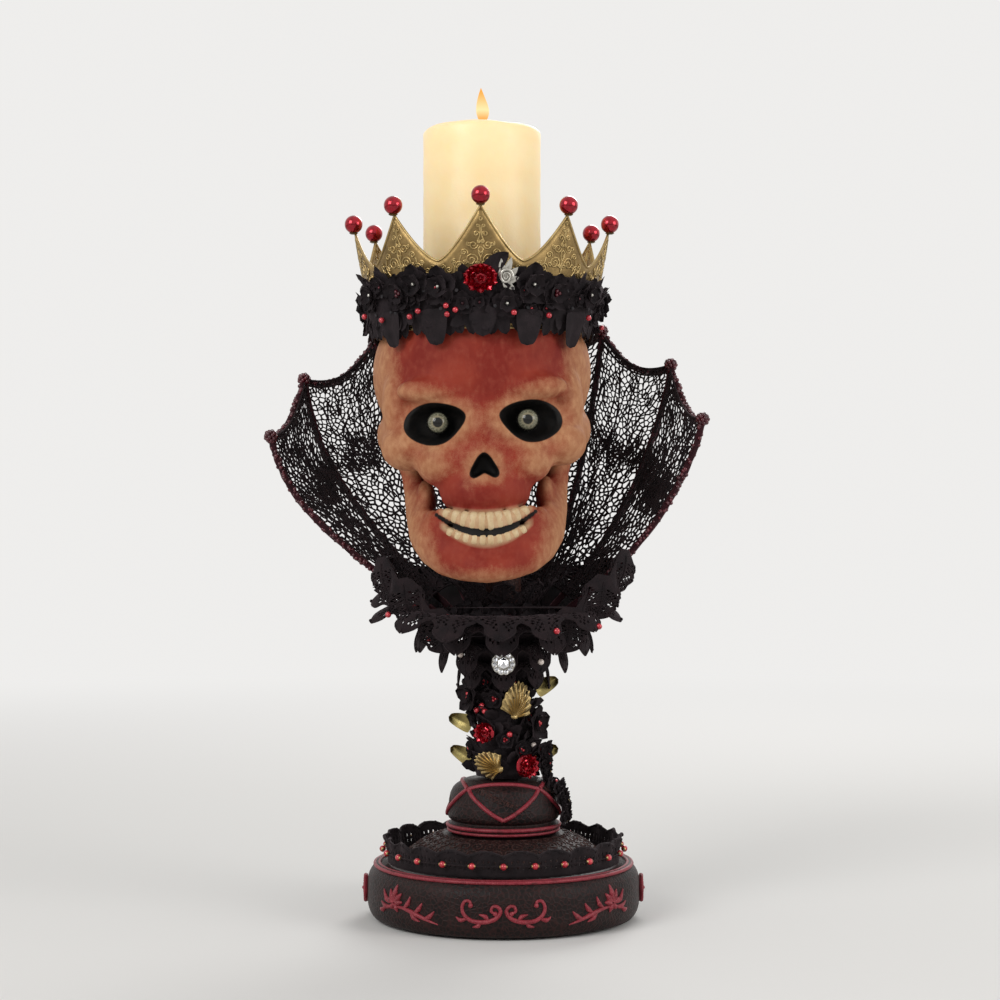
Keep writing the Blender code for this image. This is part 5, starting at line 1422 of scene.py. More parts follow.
def chain(stops, per_span):
    """Masses from stop to stop, close enough together to melt into one bar."""
    made = []
    for a, b in zip(stops, stops[1:]):
        made += [tuple(p + (q - p) * k / per_span for p, q in zip(a, b)) for k in range(per_span)]
    return made + [stops[-1]]


def gum_row(z, height, width):
    """Ten soft lumps on a curved row, which carry the teeth."""
    return [((i - 4.5) * width, -72 + 0.013 * ((i - 4.5) * width) ** 2, z + 0.008 * ((i - 4.5) * width) ** 2,
             width * 0.66, 5.0, height * (1 - 0.0006 * ((i - 4.5) * width) ** 2)) for i in range(10)]


# Small masses that close the mouth at its corners and back, and carry the cheek down to the jaw
MOUTH_CORNERS = ((29, -55, -101, 7, 9, 8), (33, -48, -96, 6.5, 11, 9), (38, -24, -82, 6.5, 13, 15),
                 (39, -34, -94, 6, 12, 11), (10, -48, -103, 20, 17, 10))
masses = list(MIDDLE_MASSES) + gum_row(-96, 7.0, 6.3) + gum_row(-107, 5.0, 5.8)
for x, y, z, *radii in SIDE_MASSES + tuple(chain(CHEEK_ARCH, 4)) + tuple(chain(JAW, 3)) + MOUTH_CORNERS:
    masses += [(x, y, z, *radii), (-x, y, z, *radii)]
print(len(masses), "masses make the skull")

# %% The tools that cut sockets, nose and mouth
# Millimetres outward and up from a socket's middle: an almond with its corner towards the nose
ALMOND = ((-18.9, 5.6), (-14, 9.6), (-6, 12.2), (3, 12.9), (11, 10.9), (17, 6.4), (19.4, 0.2), (17.4, -5.8),
          (11.5, -10.4), (4, -12.9), (-3.5, -12.6), (-10, -9.2), (-15.5, -3.6), (-18.9, 1.6))
SOCKET_AT = (30, -34.5)
NOSE = ((0, -53.5), (3.2, -55.5), (6.2, -60), (8.8, -65), (8.6, -68), (6, -69), (2.6, -67.2), (0, -66),
        (-2.6, -67.2), (-6, -69), (-8.6, -68), (-8.8, -65), (-6.2, -60), (-3.2, -55.5))


def smooth_outline(stops, steps=4):
    return [(p.x, p.z) for p in through([(x, 0, z) for x, z in stops], steps, closed=True)]


def outline_tool(outline, middle, stops):
    """A closed plug with that outline; stops give how deep it goes and how wide it is there."""
    cx, cz = middle
    count = len(outline)
    points = [((cx + (x - cx) * w) / 1000, y / 1000, (cz + (z - cz) * w) / 1000)
              for y, w in stops for x, z in outline]
    faces = [(k * count + i, k * count + (i + 1) % count, (k + 1) * count + (i + 1) % count, (k + 1) * count + i)
             for k in range(len(stops) - 1) for i in range(count)]
    faces.append(tuple(reversed(range(count))))
    faces.append(tuple((len(stops) - 1) * count + i for i in range(count)))
    return points, faces


SOCKET_LINES = {side: [(side * (SOCKET_AT[0] + x), SOCKET_AT[1] + z) for x, z in smooth_outline(ALMOND)]
                for side in (-1, 1)}
NOSE_LINE = smooth_outline(NOSE, 3)
MOUTH_LINE = [((i - 15) * 2.05, -103 + 0.0128 * ((i - 15) * 2.05) ** 2) for i in range(31)]
tools = Heap()
for side in (-1, 1):
    stops = ((-110, 1.0), (-64, 1.0), (-57, 0.95), (-51, 0.80), (-47.5, 0.60), (-46, 0.35))
    tools.add(outline_tool(SOCKET_LINES[side], (side * SOCKET_AT[0], SOCKET_AT[1]), stops))
tools.add(outline_tool(NOSE_LINE, (0, -62), ((-110, 1.0), (-64, 0.97), (-59, 0.75))))
MOUTH_FRONT, MOUTH_BEND = -77.5, 0.0135
slit = [(x / 1000, (MOUTH_FRONT + MOUTH_BEND * x * x) / 1000, z / 1000) for x, z in MOUTH_LINE]
tools.add(cord(slit, 0.0024, 10, swell=[1 - 0.6 * abs(i - 15) / 15 for i in range(31)]))
print("the cutting tools have", len(tools.faces), "faces")


# %% Pile, melt, cut and skin the skull
def plain_mesh(name, points, faces):
    mesh = bpy.data.meshes.new(name)
    mesh.from_pydata([tuple(p) for p in points], [], faces)
    return mesh


def consistent(obj):
    """Makes all faces of a closed mesh look outward."""
    bm = bmesh.new()
    bm.from_mesh(obj.data)
    bmesh.ops.recalc_face_normals(bm, faces=bm.faces)
    bm.to_mesh(obj.data)
    bm.free()
    return obj


pile = Heap()
round_ball = ball(1.0, 4)
for x, y, z, rx, ry, rz in masses:
    pile.add(round_ball, move(x / 1000, y / 1000, z / 1000) @ Matrix.Diagonal((rx / 1000, ry / 1000, rz / 1000, 1)))
skull = link(bpy.data.objects.new("skull_cast", plain_mesh("skull_cast", pile.points, pile.faces)))


def remesh(obj, voxel, soften):
    skin = obj.modifiers.new("one_skin", "REMESH")
    skin.mode, skin.voxel_size, skin.use_smooth_shade = "VOXEL", voxel, True
    melt = obj.modifiers.new("melted", "SMOOTH")
    melt.factor, melt.iterations = 0.5, soften
    return baked(obj)


remesh(skull, 0.0014, 22)
cutter = consistent(link(bpy.data.objects.new("skull_tools", plain_mesh("skull_tools", tools.points, tools.faces))))
slab = turned([(0.0001, 0.2), (0.2, 0.2), (0.2, 0.0), (0.0001, 0.0)], 24)
flat_top = link(bpy.data.objects.new("flat_top", plain_mesh("flat_top", *slab)))
flat_top.matrix_world = Matrix.Translation((0, 0, 0.0540)) @ turn(-HEAD_TILT, "Y")
post_hole = [(0.0001, 0.008), (0.0033, 0.008), (0.0033, 0.0003), (0.0117, 0.0003), (0.0117, -0.19), (0.0001, -0.19)]
socket = link(bpy.data.objects.new("post_socket", plain_mesh("post_socket", *turned(post_hole, 32))))
socket.matrix_world = HEAD_PLACE.inverted() @ Matrix.Translation((0, 0, STEM_TOP))
for tool in (cutter, consistent(flat_top), consistent(socket)):
    cut = skull.modifiers.new("cut", "BOOLEAN")
    cut.operation, cut.solver, cut.object = "DIFFERENCE", "EXACT", tool
baked(skull)
remesh(skull, 0.0015, 2)
for tool in (cutter, flat_top, socket):
    bpy.data.objects.remove(tool)
print("skull skin:", len(skull.data.polygons), "faces")

# %% [markdown]
# ## Painting the skull
# The painter laid a dusty brick red over tan and rubbed it off the ridges: brows, cheekbones,
# temples and the edge of the jaw are tan, the flat parts stay red, and the sockets are black with
# a sharp border. Numbers written on the mesh hold this: how far a point stands out from its
# surroundings, and how far it is from the outlines of the cuts. The shader only reads them.

# %% Measure ridges and hollows
def measured(mesh):
    count = len(mesh.vertices)
    co = np.empty(count * 3)
    mesh.vertices.foreach_get("co", co)
    normals = np.empty(count * 3)
    mesh.vertex_normals.foreach_get("vector", normals)
    edges = np.empty(len(mesh.edges) * 2, dtype=int)
    mesh.edges.foreach_get("vertices", edges)
    return co.reshape(-1, 3) * 1000, normals.reshape(-1, 3), edges.reshape(-1, 2)


def spread(values, edges, rounds):
    """Averages each point with its neighbours, over and over."""
    near = np.bincount(edges.ravel(), minlength=len(values)).reshape(-1, *([1] * (values.ndim - 1)))
    for _ in range(rounds):
        total = np.zeros_like(values)
        np.add.at(total, edges[:, 0], values[edges[:, 1]])
        np.add.at(total, edges[:, 1], values[edges[:, 0]])
        values = 0.5 * values + 0.5 * total / np.maximum(near, 1)
    return values


def from_outline(points, outline):
    """Distance in mm of (x, z) points from a closed outline, below zero inside it."""
    line = np.array(outline)
    best = np.full(len(points), 1e9)
    inside = np.zeros(len(points), bool)
    for (ax, az), (bx, bz) in zip(line, np.roll(line, -1, 0)):
        px, pz = points[:, 0], points[:, 1]
        wx, wz = bx - ax, bz - az
        s = np.clip(((px - ax) * wx + (pz - az) * wz) / (wx * wx + wz * wz), 0, 1)
        best = np.minimum(best, np.hypot(px - ax - s * wx, pz - az - s * wz))
        crosses = (az > pz) != (bz > pz)
        inside ^= crosses & (px < ax + (pz - az) / np.where(bz == az, 1e-9, bz - az) * wx)
    return np.where(inside, -best, best)


def ramp(values, low, high):
    return np.clip((values - low) / (high - low), 0, 1)


def write(mesh, name, values):
    note = mesh.attributes.new(name, "FLOAT", "POINT")
    note.data.foreach_set("value", np.asarray(values, dtype=np.float32))


at, normal, joins = measured(skull.data)
stands_out = np.einsum("ij,ij->i", at - spread(at, joins, 60), normal)
stands_out = spread(stands_out, joins, 12)
x, y, z = np.abs(at[:, 0]), at[:, 1], at[:, 2]
flat = at[:, [0, 2]]
to_socket = np.minimum(from_outline(flat, SOCKET_LINES[-1]), from_outline(flat, SOCKET_LINES[1]))
to_nose = from_outline(flat, NOSE_LINE)
front = ramp(y, -25, -45)


def glow(distance, width):
    return np.exp(-(np.maximum(distance, 0) / width) ** 2)


ridge = 0.50 * ramp(stands_out, 0.5, 1.9)
sideways = x + 0.50 * np.clip(y - 5, 0, 60)
temple = 0.92 * ramp(sideways, 45, 61) * ramp(z, -72, -56) * ramp(z, 66, 30) * (1 - 0.25 * ramp(y, 10, 70))
round_socket = 0.62 * glow(to_socket, 9) * front
round_nose = 0.50 * glow(to_nose, 6) * front
cheek = 0.70 * np.exp(-((z + 61 - 0.12 * (x - 30)) / 7) ** 2) * ramp(x, 12, 30)
jaw_edge = 0.85 * ramp(x - 0.25 * (z + 120), 24, 42) * ramp(z, -58, -80)
chin_edge = 0.45 * ramp(z, -118, -132)
forehead = np.exp(-((x / 46) ** 2 + ((z - 16) / 24) ** 2))
lip = np.exp(-((x / 22) ** 2 + ((z + 82) / 9) ** 2))
chin = np.exp(-((x / 24) ** 2 + ((z + 119) / 9) ** 2))
tan = np.maximum.reduce([temple, round_socket, round_nose, cheek, jaw_edge, chin_edge]) + ridge
tan = np.clip(tan - 0.55 * (forehead + lip + chin), 0, 1)
write(skull.data, "tan", spread(tan, joins, 8))
holes = np.minimum(to_socket, to_nose)
mouth = np.min([np.hypot(flat[:, 0] - mx, flat[:, 1] - mz) - 2.5 * (1 - 0.6 * abs(mx) / 31)
                for mx, mz in MOUTH_LINE], axis=0)
deep = y - MOUTH_FRONT - MOUTH_BEND * x * x > -2.4
holes = np.where(deep, np.minimum(holes, mouth), holes)
write(skull.data, "hole", np.where(y < -35, holes, 9.0))
upper = (-95.6 + 0.0100 * x * x, 5.4 - 0.0042 * x * x)
lower = (-106.4 + 0.0112 * x * x, 4.4 - 0.0044 * x * x)
gum = np.minimum(np.abs(z - upper[0]) - upper[1], np.abs(z - lower[0]) - lower[1])
write(skull.data, "gum", np.maximum.reduce([gum, np.clip((y + 58) * 0.8, -9, 9), np.clip((x - 27) * 0.8, -9, 9)]))
print("ridges from", round(float(stands_out.min()), 2), "to", round(float(stands_out.max()), 2), "mm")


# %% Mix the bone paint
def bone_paint():
    mix = Finish("dusty_red_bone_paint", Specular_IOR_Level=0.16)
    cloud, brush, speck = mix.grain(38, 3), mix.grain(260, 5, (1, 1, 0.7)), mix.grain(1500, 3)
    red = mix.blend(mix.between(cloud, 0.35, 0.65), (0.205, 0.019, 0.012), (0.290, 0.038, 0.020))
    red = mix.blend(mix.between(brush, 0.42, 0.72, 0.0, 0.35), red, (0.36, 0.080, 0.050))
    tan_paint = mix.blend(mix.between(brush, 0.35, 0.7), (0.40, 0.165, 0.078), (0.51, 0.255, 0.130))
    uneven = mix.sum(mix.written("tan"), mix.between(brush, 0.25, 0.75, -0.11, 0.11))
    uneven = mix.sum(uneven, mix.between(speck, 0.3, 0.7, -0.13, 0.13))
    colour = mix.blend(mix.between(uneven, 0.10, 0.85), red, tan_paint)
    cream = mix.blend(mix.between(brush, 0.3, 0.7), (0.56, 0.36, 0.19), (0.68, 0.49, 0.29))
    colour = mix.blend(mix.between(mix.written("gum"), 2.2, -0.8, 0.0, 0.8), colour, cream)
    colour = mix.blend(mix.between(speck, 0.60, 0.75, 0.0, 0.35), colour, (0.14, 0.030, 0.022))
    black = mix.blend(mix.between(brush, 0.3, 0.7), (0.004, 0.004, 0.004), (0.012, 0.010, 0.009))
    colour = mix.blend(mix.between(mix.written("hole"), 0.55, 0.05), colour, black)
    grains = mix.sum(mix.sum(speck, 0.5, "MULTIPLY"), mix.sum(brush, 0.6, "MULTIPLY"))
    return mix.done(colour, mix.between(brush, 0.2, 0.8, 0.52, 0.72), grains, 0.0004, 0.5)


skull.data.transform(HEAD_PLACE)
skull.data.materials.clear()
skull.data.materials.append(bone_paint())
skull.data.shade_smooth()
ready(skull, ["skull"])

# %% [markdown]
# ## Teeth
# The teeth are two low rows, cream with a little brown at the gum, that follow the smile. They are
# part of the casting, but paint sets them off, so they are made as rounded blocks half sunk in the
# gum. A block with softened corners comes from a ball whose coordinates are raised to a power.

# %% Set the two rows
def tooth(half_w, half_d, half_h, sides=20, rings=12):
    points, faces = [], []
    for r in range(rings + 1):
        lat = math.pi * r / rings
        for c in range(sides):
            lon = 2 * math.pi * c / sides
            raw = (math.sin(lat) * math.cos(lon), math.sin(lat) * math.sin(lon), math.cos(lat))
            x, y, z = (math.copysign(abs(v) ** p, v) for v, p in zip(raw, (0.55, 0.8, 0.60)))
            points.append((x * half_w * (1 + 0.10 * z), y * half_d, z * half_h))
    for r in range(rings):
        for c in range(sides):
            d = (c + 1) % sides
            faces.append((r * sides + c, (r + 1) * sides + c, (r + 1) * sides + d, r * sides + d))
    return points, faces


def tooth_enamel():
    mix = Finish("cream_tooth_paint", Specular_IOR_Level=0.5)
    broad, fine = mix.grain(180), mix.grain(1400, 4, (1, 1, 0.3))
    colour = mix.blend(mix.between(broad, 0.35, 0.7), (0.66, 0.50, 0.29), (0.55, 0.38, 0.20))
    colour = mix.blend(mix.between(fine, 0.6, 0.75, 0.0, 0.5), colour, (0.45, 0.28, 0.16))
    colour = mix.blend(mix.edges(0.50, 0.42), colour, (0.34, 0.17, 0.10))
    return mix.done(colour, mix.between(fine, 0.3, 0.7, 0.38, 0.52), fine, 0.0002, 0.4)


ENAMEL = tooth_enamel()
for row, z, half_h, width, taper in (("upper", -95.9, 5.9, 5.2, 0.0009), ("lower", -107.4, 3.5, 4.8, 0.0005)):
    teeth = Heap()
    for i in range(10):
        tx = (i - 4.5) * width
        lift = z + (0.0102 if row == "upper" else 0.0116) * tx * tx
        block = tooth(width * 0.515 / 1000, 0.0038, half_h * (1 - taper * tx * tx) / 1000)
        bend = math.degrees(math.atan(0.026 * tx))
        rise = math.degrees(math.atan(0.022 * tx))
        gum_at = HEAD_PLACE @ move(tx / 1000, (-72.4 + 0.013 * tx * tx) / 1000, lift / 1000)
        teeth.add(block, gum_at @ turn(bend) @ turn(-rise, "Y"))
    piece(f"teeth_{row}", teeth, [ENAMEL])

# %% [markdown]
# ## Glass eyes
# Each eye is a solid glass ball with the iris painted behind it: a dark pupil, a pale olive ring
# with fine rays, and a dark rim. Real refraction would need a clear shell and many samples. A
# painted ball under a clear glossy coat shows the same rings and the same highlight.

# %% Paint the irises and seat the eyes
def iris_glass():
    mix = Finish("olive_iris_glass", Coat_Weight=0.6, Coat_Roughness=0.02, Specular_IOR_Level=0.1)
    split = mix.node("ShaderNodeSeparateXYZ", Vector=mix.spot)
    across, up = split.outputs[0], split.outputs[2]
    flat_distance = mix.sum(mix.sum(mix.sum(across, across, "MULTIPLY"), mix.sum(up, up, "MULTIPLY")), 0.5, "POWER")
    angle = mix.sum(up, across, "ARCTAN2")
    unrolled = mix.node("ShaderNodeCombineXYZ", X=angle, Y=mix.sum(flat_distance, 60.0, "MULTIPLY"))
    rays = mix.node("ShaderNodeTexNoise", Vector=unrolled.outputs[0], Scale=9.0, Detail=5.0)
    iris = mix.blend(mix.between(rays.outputs["Fac"], 0.35, 0.65), (0.085, 0.085, 0.055), (0.30, 0.285, 0.20))
    # A paler band round the pupil, a painted highlight of the glass
    colour = mix.blend(mix.between(flat_distance, 0.0046, 0.0036, 0.0, 0.6), iris, (0.27, 0.225, 0.13))
    colour = mix.blend(mix.between(flat_distance, 0.0034, 0.0028), colour, (0.004, 0.004, 0.003))
    colour = mix.blend(mix.between(flat_distance, 0.0056, 0.0064), colour, (0.012, 0.012, 0.010))
    return mix.done(colour, mix.between(rays.outputs["Fac"], 0.3, 0.7, 0.10, 0.2))


IRIS, EYE_RADIUS = iris_glass(), 0.0074
for name, side in (("glass_eye_left", -1), ("glass_eye_right", 1)):
    eye = Heap().add(ball(EYE_RADIUS, 4))
    piece(name + "_painted", eye, [IRIS], [name], place=HEAD_PLACE @ move(side * 0.028, -0.0544, -0.0335))

# %% [markdown]
# ## The crown
# One sheet of thin brass was cut into nine points, embossed with scrolls, bent round and joined.
# The sheet is built as a grid whose top row follows the points' hollow sides, then given its
# thickness. Embossing could be a bump, but the scrolls are seen against the light at the edges, so
# they are raised wires on the outside, and again, fainter, on the inside.

# %% Sizes of the crown
TRAY_BOTTOM = 0.4062
CROWN_BOTTOM, CROWN_HEIGHT, CROWN_VALLEY = TRAY_BOTTOM - 0.031, 0.0738, 0.0410
CROWN_SLOPE = 0.0150 / CROWN_HEIGHT
FLARE = math.degrees(math.atan(CROWN_SLOPE))


def crown_radius(height):
    return 0.0690 + CROWN_SLOPE * (height - CROWN_BOTTOM)


def crown_top(azimuth):
    return CROWN_BOTTOM + CROWN_HEIGHT - 0.0085 * math.sin(math.radians(azimuth)) ** 2


def on_crown(azimuth, height, proud=0.0):
    return round_point(azimuth, crown_radius(height) + proud, height, HEAD_X)


def crown_edge(azimuth):
    """Height of the cut edge at an azimuth: hollow sides that meet in nine points."""
    nearest = 40 * round(azimuth / 40)
    across = abs(azimuth - nearest) / 20
    valley = CROWN_BOTTOM + CROWN_VALLEY
    return valley + (crown_top(nearest) - valley) * (1 - across) ** 1.5


# %% Cut, thicken and emboss the crown
def crown_point(turns, share):
    azimuth = 360 * turns
    return on_crown(azimuth, CROWN_BOTTOM + (crown_edge(azimuth) - CROWN_BOTTOM) * share)


crown_sheet = skinned(crown_point, 9 * 34, 11, 0.0008)
finished_sheet(crown_sheet, "crown_sheet", DARK_GOLD, ["crown"])


def curl(middle, radius, turns_round, start, way):
    """A spiral in millimetres on a point of the crown, from its outside to its eye."""
    u, v = middle
    steps = int(8 * turns_round) + 3
    line = []
    for k in range(steps + 1):
        s = k / steps
        a = math.radians(start) + way * 2 * math.pi * turns_round * s
        r = radius * (1 - 0.80 * s)
        line.append((u + r * math.cos(a), v + r * math.sin(a)))
    return line


def s_scroll(a, b, bulge):
    """A stem between two places that bends to one side."""
    (ax, ay), (bx, by) = a, b
    line = [(s, math.sin(math.pi * s)) for s in (k / 8 for k in range(9))]
    return [(ax + (bx - ax) * s - (by - ay) * bulge * bow, ay + (by - ay) * s + (bx - ax) * bulge * bow)
            for s, bow in line]


motif = []
for side in (-1, 1):
    motif += [[(side * u, v) for u, v in line] for line in (
        curl((5.6, 41.0), 4.1, 1.6, 200, -1), curl((13.2, 37.6), 3.1, 1.5, 190, -1),
        curl((4.4, 50.0), 2.9, 1.4, 180, 1), curl((10.2, 45.6), 2.3, 1.4, 200, -1),
        curl((2.6, 56.5), 1.9, 1.3, 190, -1), curl((19.6, 35.6), 2.1, 1.3, 160, 1), curl((9.2, 39.6), 1.5, 1.2, 20, 1),
        curl((7.2, 50.6), 1.6, 1.3, 60, -1), curl((16.4, 40.2), 1.7, 1.3, 120, -1), curl((1.8, 39.0), 1.3, 1.2, 0, 1),
        curl((23.4, 37.2), 1.5, 1.2, 200, -1), curl((1.3, 51.8), 1.2, 1.2, 90, 1), s_scroll((0.6, 33), (1.7, 46), 0.12),
        s_scroll((9.5, 34), (12.0, 44), -0.2), s_scroll((2.0, 52), (0.8, 62), 0.10),
        s_scroll((16.5, 33), (17.4, 39), 0.2), curl((1.6, 61.5), 1.2, 1.2, 200, 1))]
motif += [[(1.5 * math.cos(a), 47.0 + 1.8 * math.sin(a)) for a in (k * 0.7 for k in range(10))],
          [(0.9 * math.cos(a), 65.5 + 1.1 * math.sin(a)) for a in (k * 0.7 for k in range(10))]]
emboss = Heap()
for i in range(9):
    for line in motif:
        for proud, thick, sides in ((0.00042, 0.00058, 5), (-0.00042, 0.00042, 3)):
            placed = []
            for u, v in line:
                height = CROWN_BOTTOM + v / 1000
                azimuth = 40 * i + math.degrees(u / 1000 / crown_radius(height))
                if height < crown_edge(azimuth) - 0.0006:
                    placed.append(on_crown(azimuth, height, proud))
            if len(placed) > 3:
                emboss.add(cord(placed, thick, sides))
rim = [on_crown(a, crown_edge(a)) for a in (k * 0.5 for k in range(720))]
emboss.add(cord(rim, 0.00075, 6, closed=True))
for v, thick in ((0.6, 0.0009), (31.5, 0.0006)):
    emboss.add(cord([on_crown(3 * k, CROWN_BOTTOM + v / 1000, 0.0004) for k in range(120)], thick, 6, closed=True))
piece("crown_scrolls", emboss, [OLD_GOLD], crease=80)

# %% Balls on the points
BALL_RADIUS = 0.0058
cap = [(0.0001, -0.0050), (0.0026, -0.0053), (0.0029, -0.0058), (0.0018, -0.0064), (0.0001, -0.0064)]
glazed_ball = Heap().add(ball(BALL_RADIUS, 4)).add(turned(cap, 24), kind=1)
for i in range(9):
    centre = crown_top(40 * i) + CLEARANCE + BALL_RADIUS * 0.99
    spot = Matrix.Translation(round_point(40 * i, crown_radius(centre), centre, HEAD_X))
    piece(f"crown_ball_{i + 1}_glazed", glazed_ball, [RED_GLAZE, OLD_GOLD], [f"crown_ball_{i + 1}"],
          place=spot)

# %% [markdown]
# ## The wreath round the crown
# Velvet flowers, leaves, sequins and small red beads hide the crown's foot, and a few leaves hang
# over the forehead. They are set along the band with a fixed seed: flat leaves first, then the
# flowers, then the beads where the photograph shows them. The red rosette sits in the middle with
# a dark leaf and a silver curl beside it.

# %% Bind the wreath
WREATH_LOW, WREATH_HEIGHT = CROWN_BOTTOM + 0.003, 0.030
HALF_SHEET, BAND_GAP, BAND_DEPTH = 0.0004, 0.0006, 0.004


def wreath_place(azimuth, height, proud=0.0, spin=0.0):
    seat = crown_radius(height) + HALF_SHEET + BAND_GAP + BAND_DEPTH + CLEARANCE + proud
    return outward(azimuth, seat, height, FLARE, spin, HEAD_X)


rng = random.Random(21)
wreath = Heap()
band = [(crown_radius(WREATH_LOW + WREATH_HEIGHT * s) + 0.0016 + 0.0022 * puff, WREATH_LOW + WREATH_HEIGHT * s)
        for s, puff in ((0.0, 0.2), (0.1, 0.8), (0.25, 1.0), (0.4, 0.8), (0.5, 1.0), (0.65, 0.8), (0.8, 1.0),
                        (0.93, 0.8), (1.0, 0.2))]
inner = [(crown_radius(height) + 0.0008, height) for height in (WREATH_LOW, WREATH_LOW + WREATH_HEIGHT)]
band = inner[:1] + band + inner[1:]
points, faces = turned(band + band[:1], 120, lambda a, r, z: (r + 0.0004 * math.sin(23 * a + 300 * z), z))
wreath.add(([(px + HEAD_X, py, pz) for px, py, pz in points], faces))
for i in range(150):
    azimuth = 360 * scattered(i)
    height = WREATH_LOW + 0.004 + 0.023 * scattered(i, 0.754878)
    size = rng.uniform(0.0095, 0.0135)
    spin = rng.uniform(-80, 80) if height > WREATH_LOW + 0.012 else rng.uniform(110, 250)
    wreath.add(petal(size, size * 0.6, curl=size * 0.18, teeth=3, tip=1.1, rows=8),
               wreath_place(azimuth, height, -0.0026, spin) @ turn(rng.uniform(4, 17), "X"))
for i in range(64):
    azimuth = 360 * (i + 0.3 * math.sin(i * 2.3)) / 64
    drop = petal(rng.uniform(0.0095, 0.0125), rng.uniform(0.0075, 0.0095), 0.0007, curl=-0.001, cup=0.001, tip=0.75,
                 rows=7)
    wreath.add(drop, wreath_place(azimuth, WREATH_LOW + 0.0040, -0.0022, 180 + rng.uniform(-24, 24)))
for i in range(38):
    azimuth = 360 * scattered(i, start=0.2)
    height = WREATH_LOW + 0.008 + 0.017 * scattered(i, 0.569840)
    beside = 58 < abs(signed(azimuth)) < 122
    if abs(signed(azimuth)) > 16 or height < WREATH_LOW + 0.013:
        flower(wreath, wreath_place(azimuth, height, -0.0034 if beside else -0.0020), rng.uniform(0.0060, 0.0082), 5,
               rng, 3 if beside else 10, 2, 1, 0.0011, 0, 1 + i % 3 // 2)
for i in range(70):
    azimuth = 360 * scattered(i, start=0.7)
    height = WREATH_LOW + 0.005 + 0.022 * scattered(i, 0.310)
    sequin = ball(0.0013, 1, (1, 1, 0.3))
    wreath.add(sequin, wreath_place(azimuth, height, 0.0016) @ turn(rng.uniform(-25, 25), "X"), 3)
piece("crown_wreath_dressed", wreath,
      [VELVET, RED_BEAD, WINE_BEAD, cloth("black_sequin", (0.02, 0.02, 0.022), (0.07, 0.06, 0.065), 900, 0.1)],
      ["crown_wreath"])

# %% Large flowers and hanging leaves
for i, azimuth in enumerate((-40, 36, 100, 180, -105), 1):
    bloom = Heap()
    flower(bloom, wreath_place(azimuth, WREATH_LOW + 0.0195, -0.0010), 0.0118, 5, rng, 3, 2, 3, 0.0014)
    piece(f"wreath_flower_{i}_velvet", bloom, [VELVET, WINE_BEAD], [f"wreath_flower_{i}"])
for i, azimuth in enumerate((-55, -18, 18, 55), 1):
    swing = (7, -4, 5, -5)[i - 1]
    shape = petal(0.0225, 0.0178, 0.0012, curl=-0.0012, cup=0.0012, tip=0.50, vein=0.04, rows=22, columns=10)
    hanging = Heap().add(shape, wreath_place(azimuth + swing, WREATH_LOW + 0.0085, 0.0009, 180))
    piece(f"wreath_leaf_{i}_velvet", hanging, [VELVET], [f"wreath_leaf_{i}"])

# %% Rosette, leaf, curl and beads at the front
jewel = rosette(wreath_place(0, WREATH_LOW + 0.027), 0.0098, 0.0052, 1.2)
piece("crown_rosette_petals", jewel, [RED_GLAZE], ["crown_rosette"])
front = Heap()
FRONT_FLOWERS = ((-19, 0.0225, 0.0125), (-31, 0.0245, 0.0125), (24, 0.0240, 0.0130), (-62, 0.021, 0.0105),
                 (60, 0.021, 0.0105), (12, 0.012, 0.0095))
for azimuth, up, size in FRONT_FLOWERS:
    flower(front, wreath_place(azimuth, WREATH_LOW + up, -0.0014), size, 5, rng, 4, 2, 1, 0.0013)
front.add(petal(0.0200, 0.0105, 0.0010, curl=0.001, cup=0.001, tip=1.2, rows=12, columns=8),
          wreath_place(1, WREATH_LOW + 0.030, -0.0005, -52))
front.add(petal(0.0190, 0.0170, 0.0010, curl=-0.001, cup=0.001, tip=0.8, rows=12, columns=8),
          wreath_place(1, WREATH_LOW + 0.010, 0.0006, 180))
swirl = [Vector((0.0042 * math.cos(a) * (1 - a / 16), 0.0048 * math.sin(a) * (1 - a / 16), 0))
         for a in (0.4 * k for k in range(34))]
swirl = [wreath_place(11, WREATH_LOW + 0.0275, 0.0014) @ p for p in swirl]
front.add(cord(swirl, 0.0009, 8, swell=[1.2 - 0.02 * k for k in range(34)]), kind=1)
for spin, length in ((8, 0.0150), (-16, 0.0165), (-42, 0.0130), (-70, 0.0100), (-120, 0.0080)):
    front.add(petal(length, 0.0048, 0.0008, curl=0.0015, vein=0.16),
              wreath_place(10, WREATH_LOW + 0.0240, 0.0002, spin), 1)
WREATH_BEADS = ((-29, 385.6), (-33.7, 382.6), (-15.3, 388.2), (-11.2, 385.6), (-15, 383.0), (14.9, 384.1), (32, 383.2),
                (-51.8, 382), (58, 384), (-68, 386), (150, 386), (-150, 386), (100, 383), (-110, 388), (170, 384),
                (-175, 390))
for azimuth, height in WREATH_BEADS:
    front.add(ball(0.0018, 3), wreath_place(azimuth, height / 1000, 0.0036), 2)
piece("wreath_front_dressing", front, [VELVET, OLD_SILVER, RED_BEAD])

# %% [markdown]
# ## Candle, wick and flame
# The candle is a plain ivory pillar. Wax lets light in, so its shader scatters it below the skin, and the wax also
# glows a little, more towards the top, as a painted glow of the flame.
# The top has begun to melt: a shallow pool with a soft rim. The wick is cotton, charred at its
# tip, and the small flame is a drop that gives light of its own.

# %% Pour the candle
CANDLE_RADIUS, CANDLE_BOTTOM = 0.038, TRAY_BOTTOM + 0.0018 + CLEARANCE
CANDLE_TOP = CANDLE_BOTTOM + 0.102


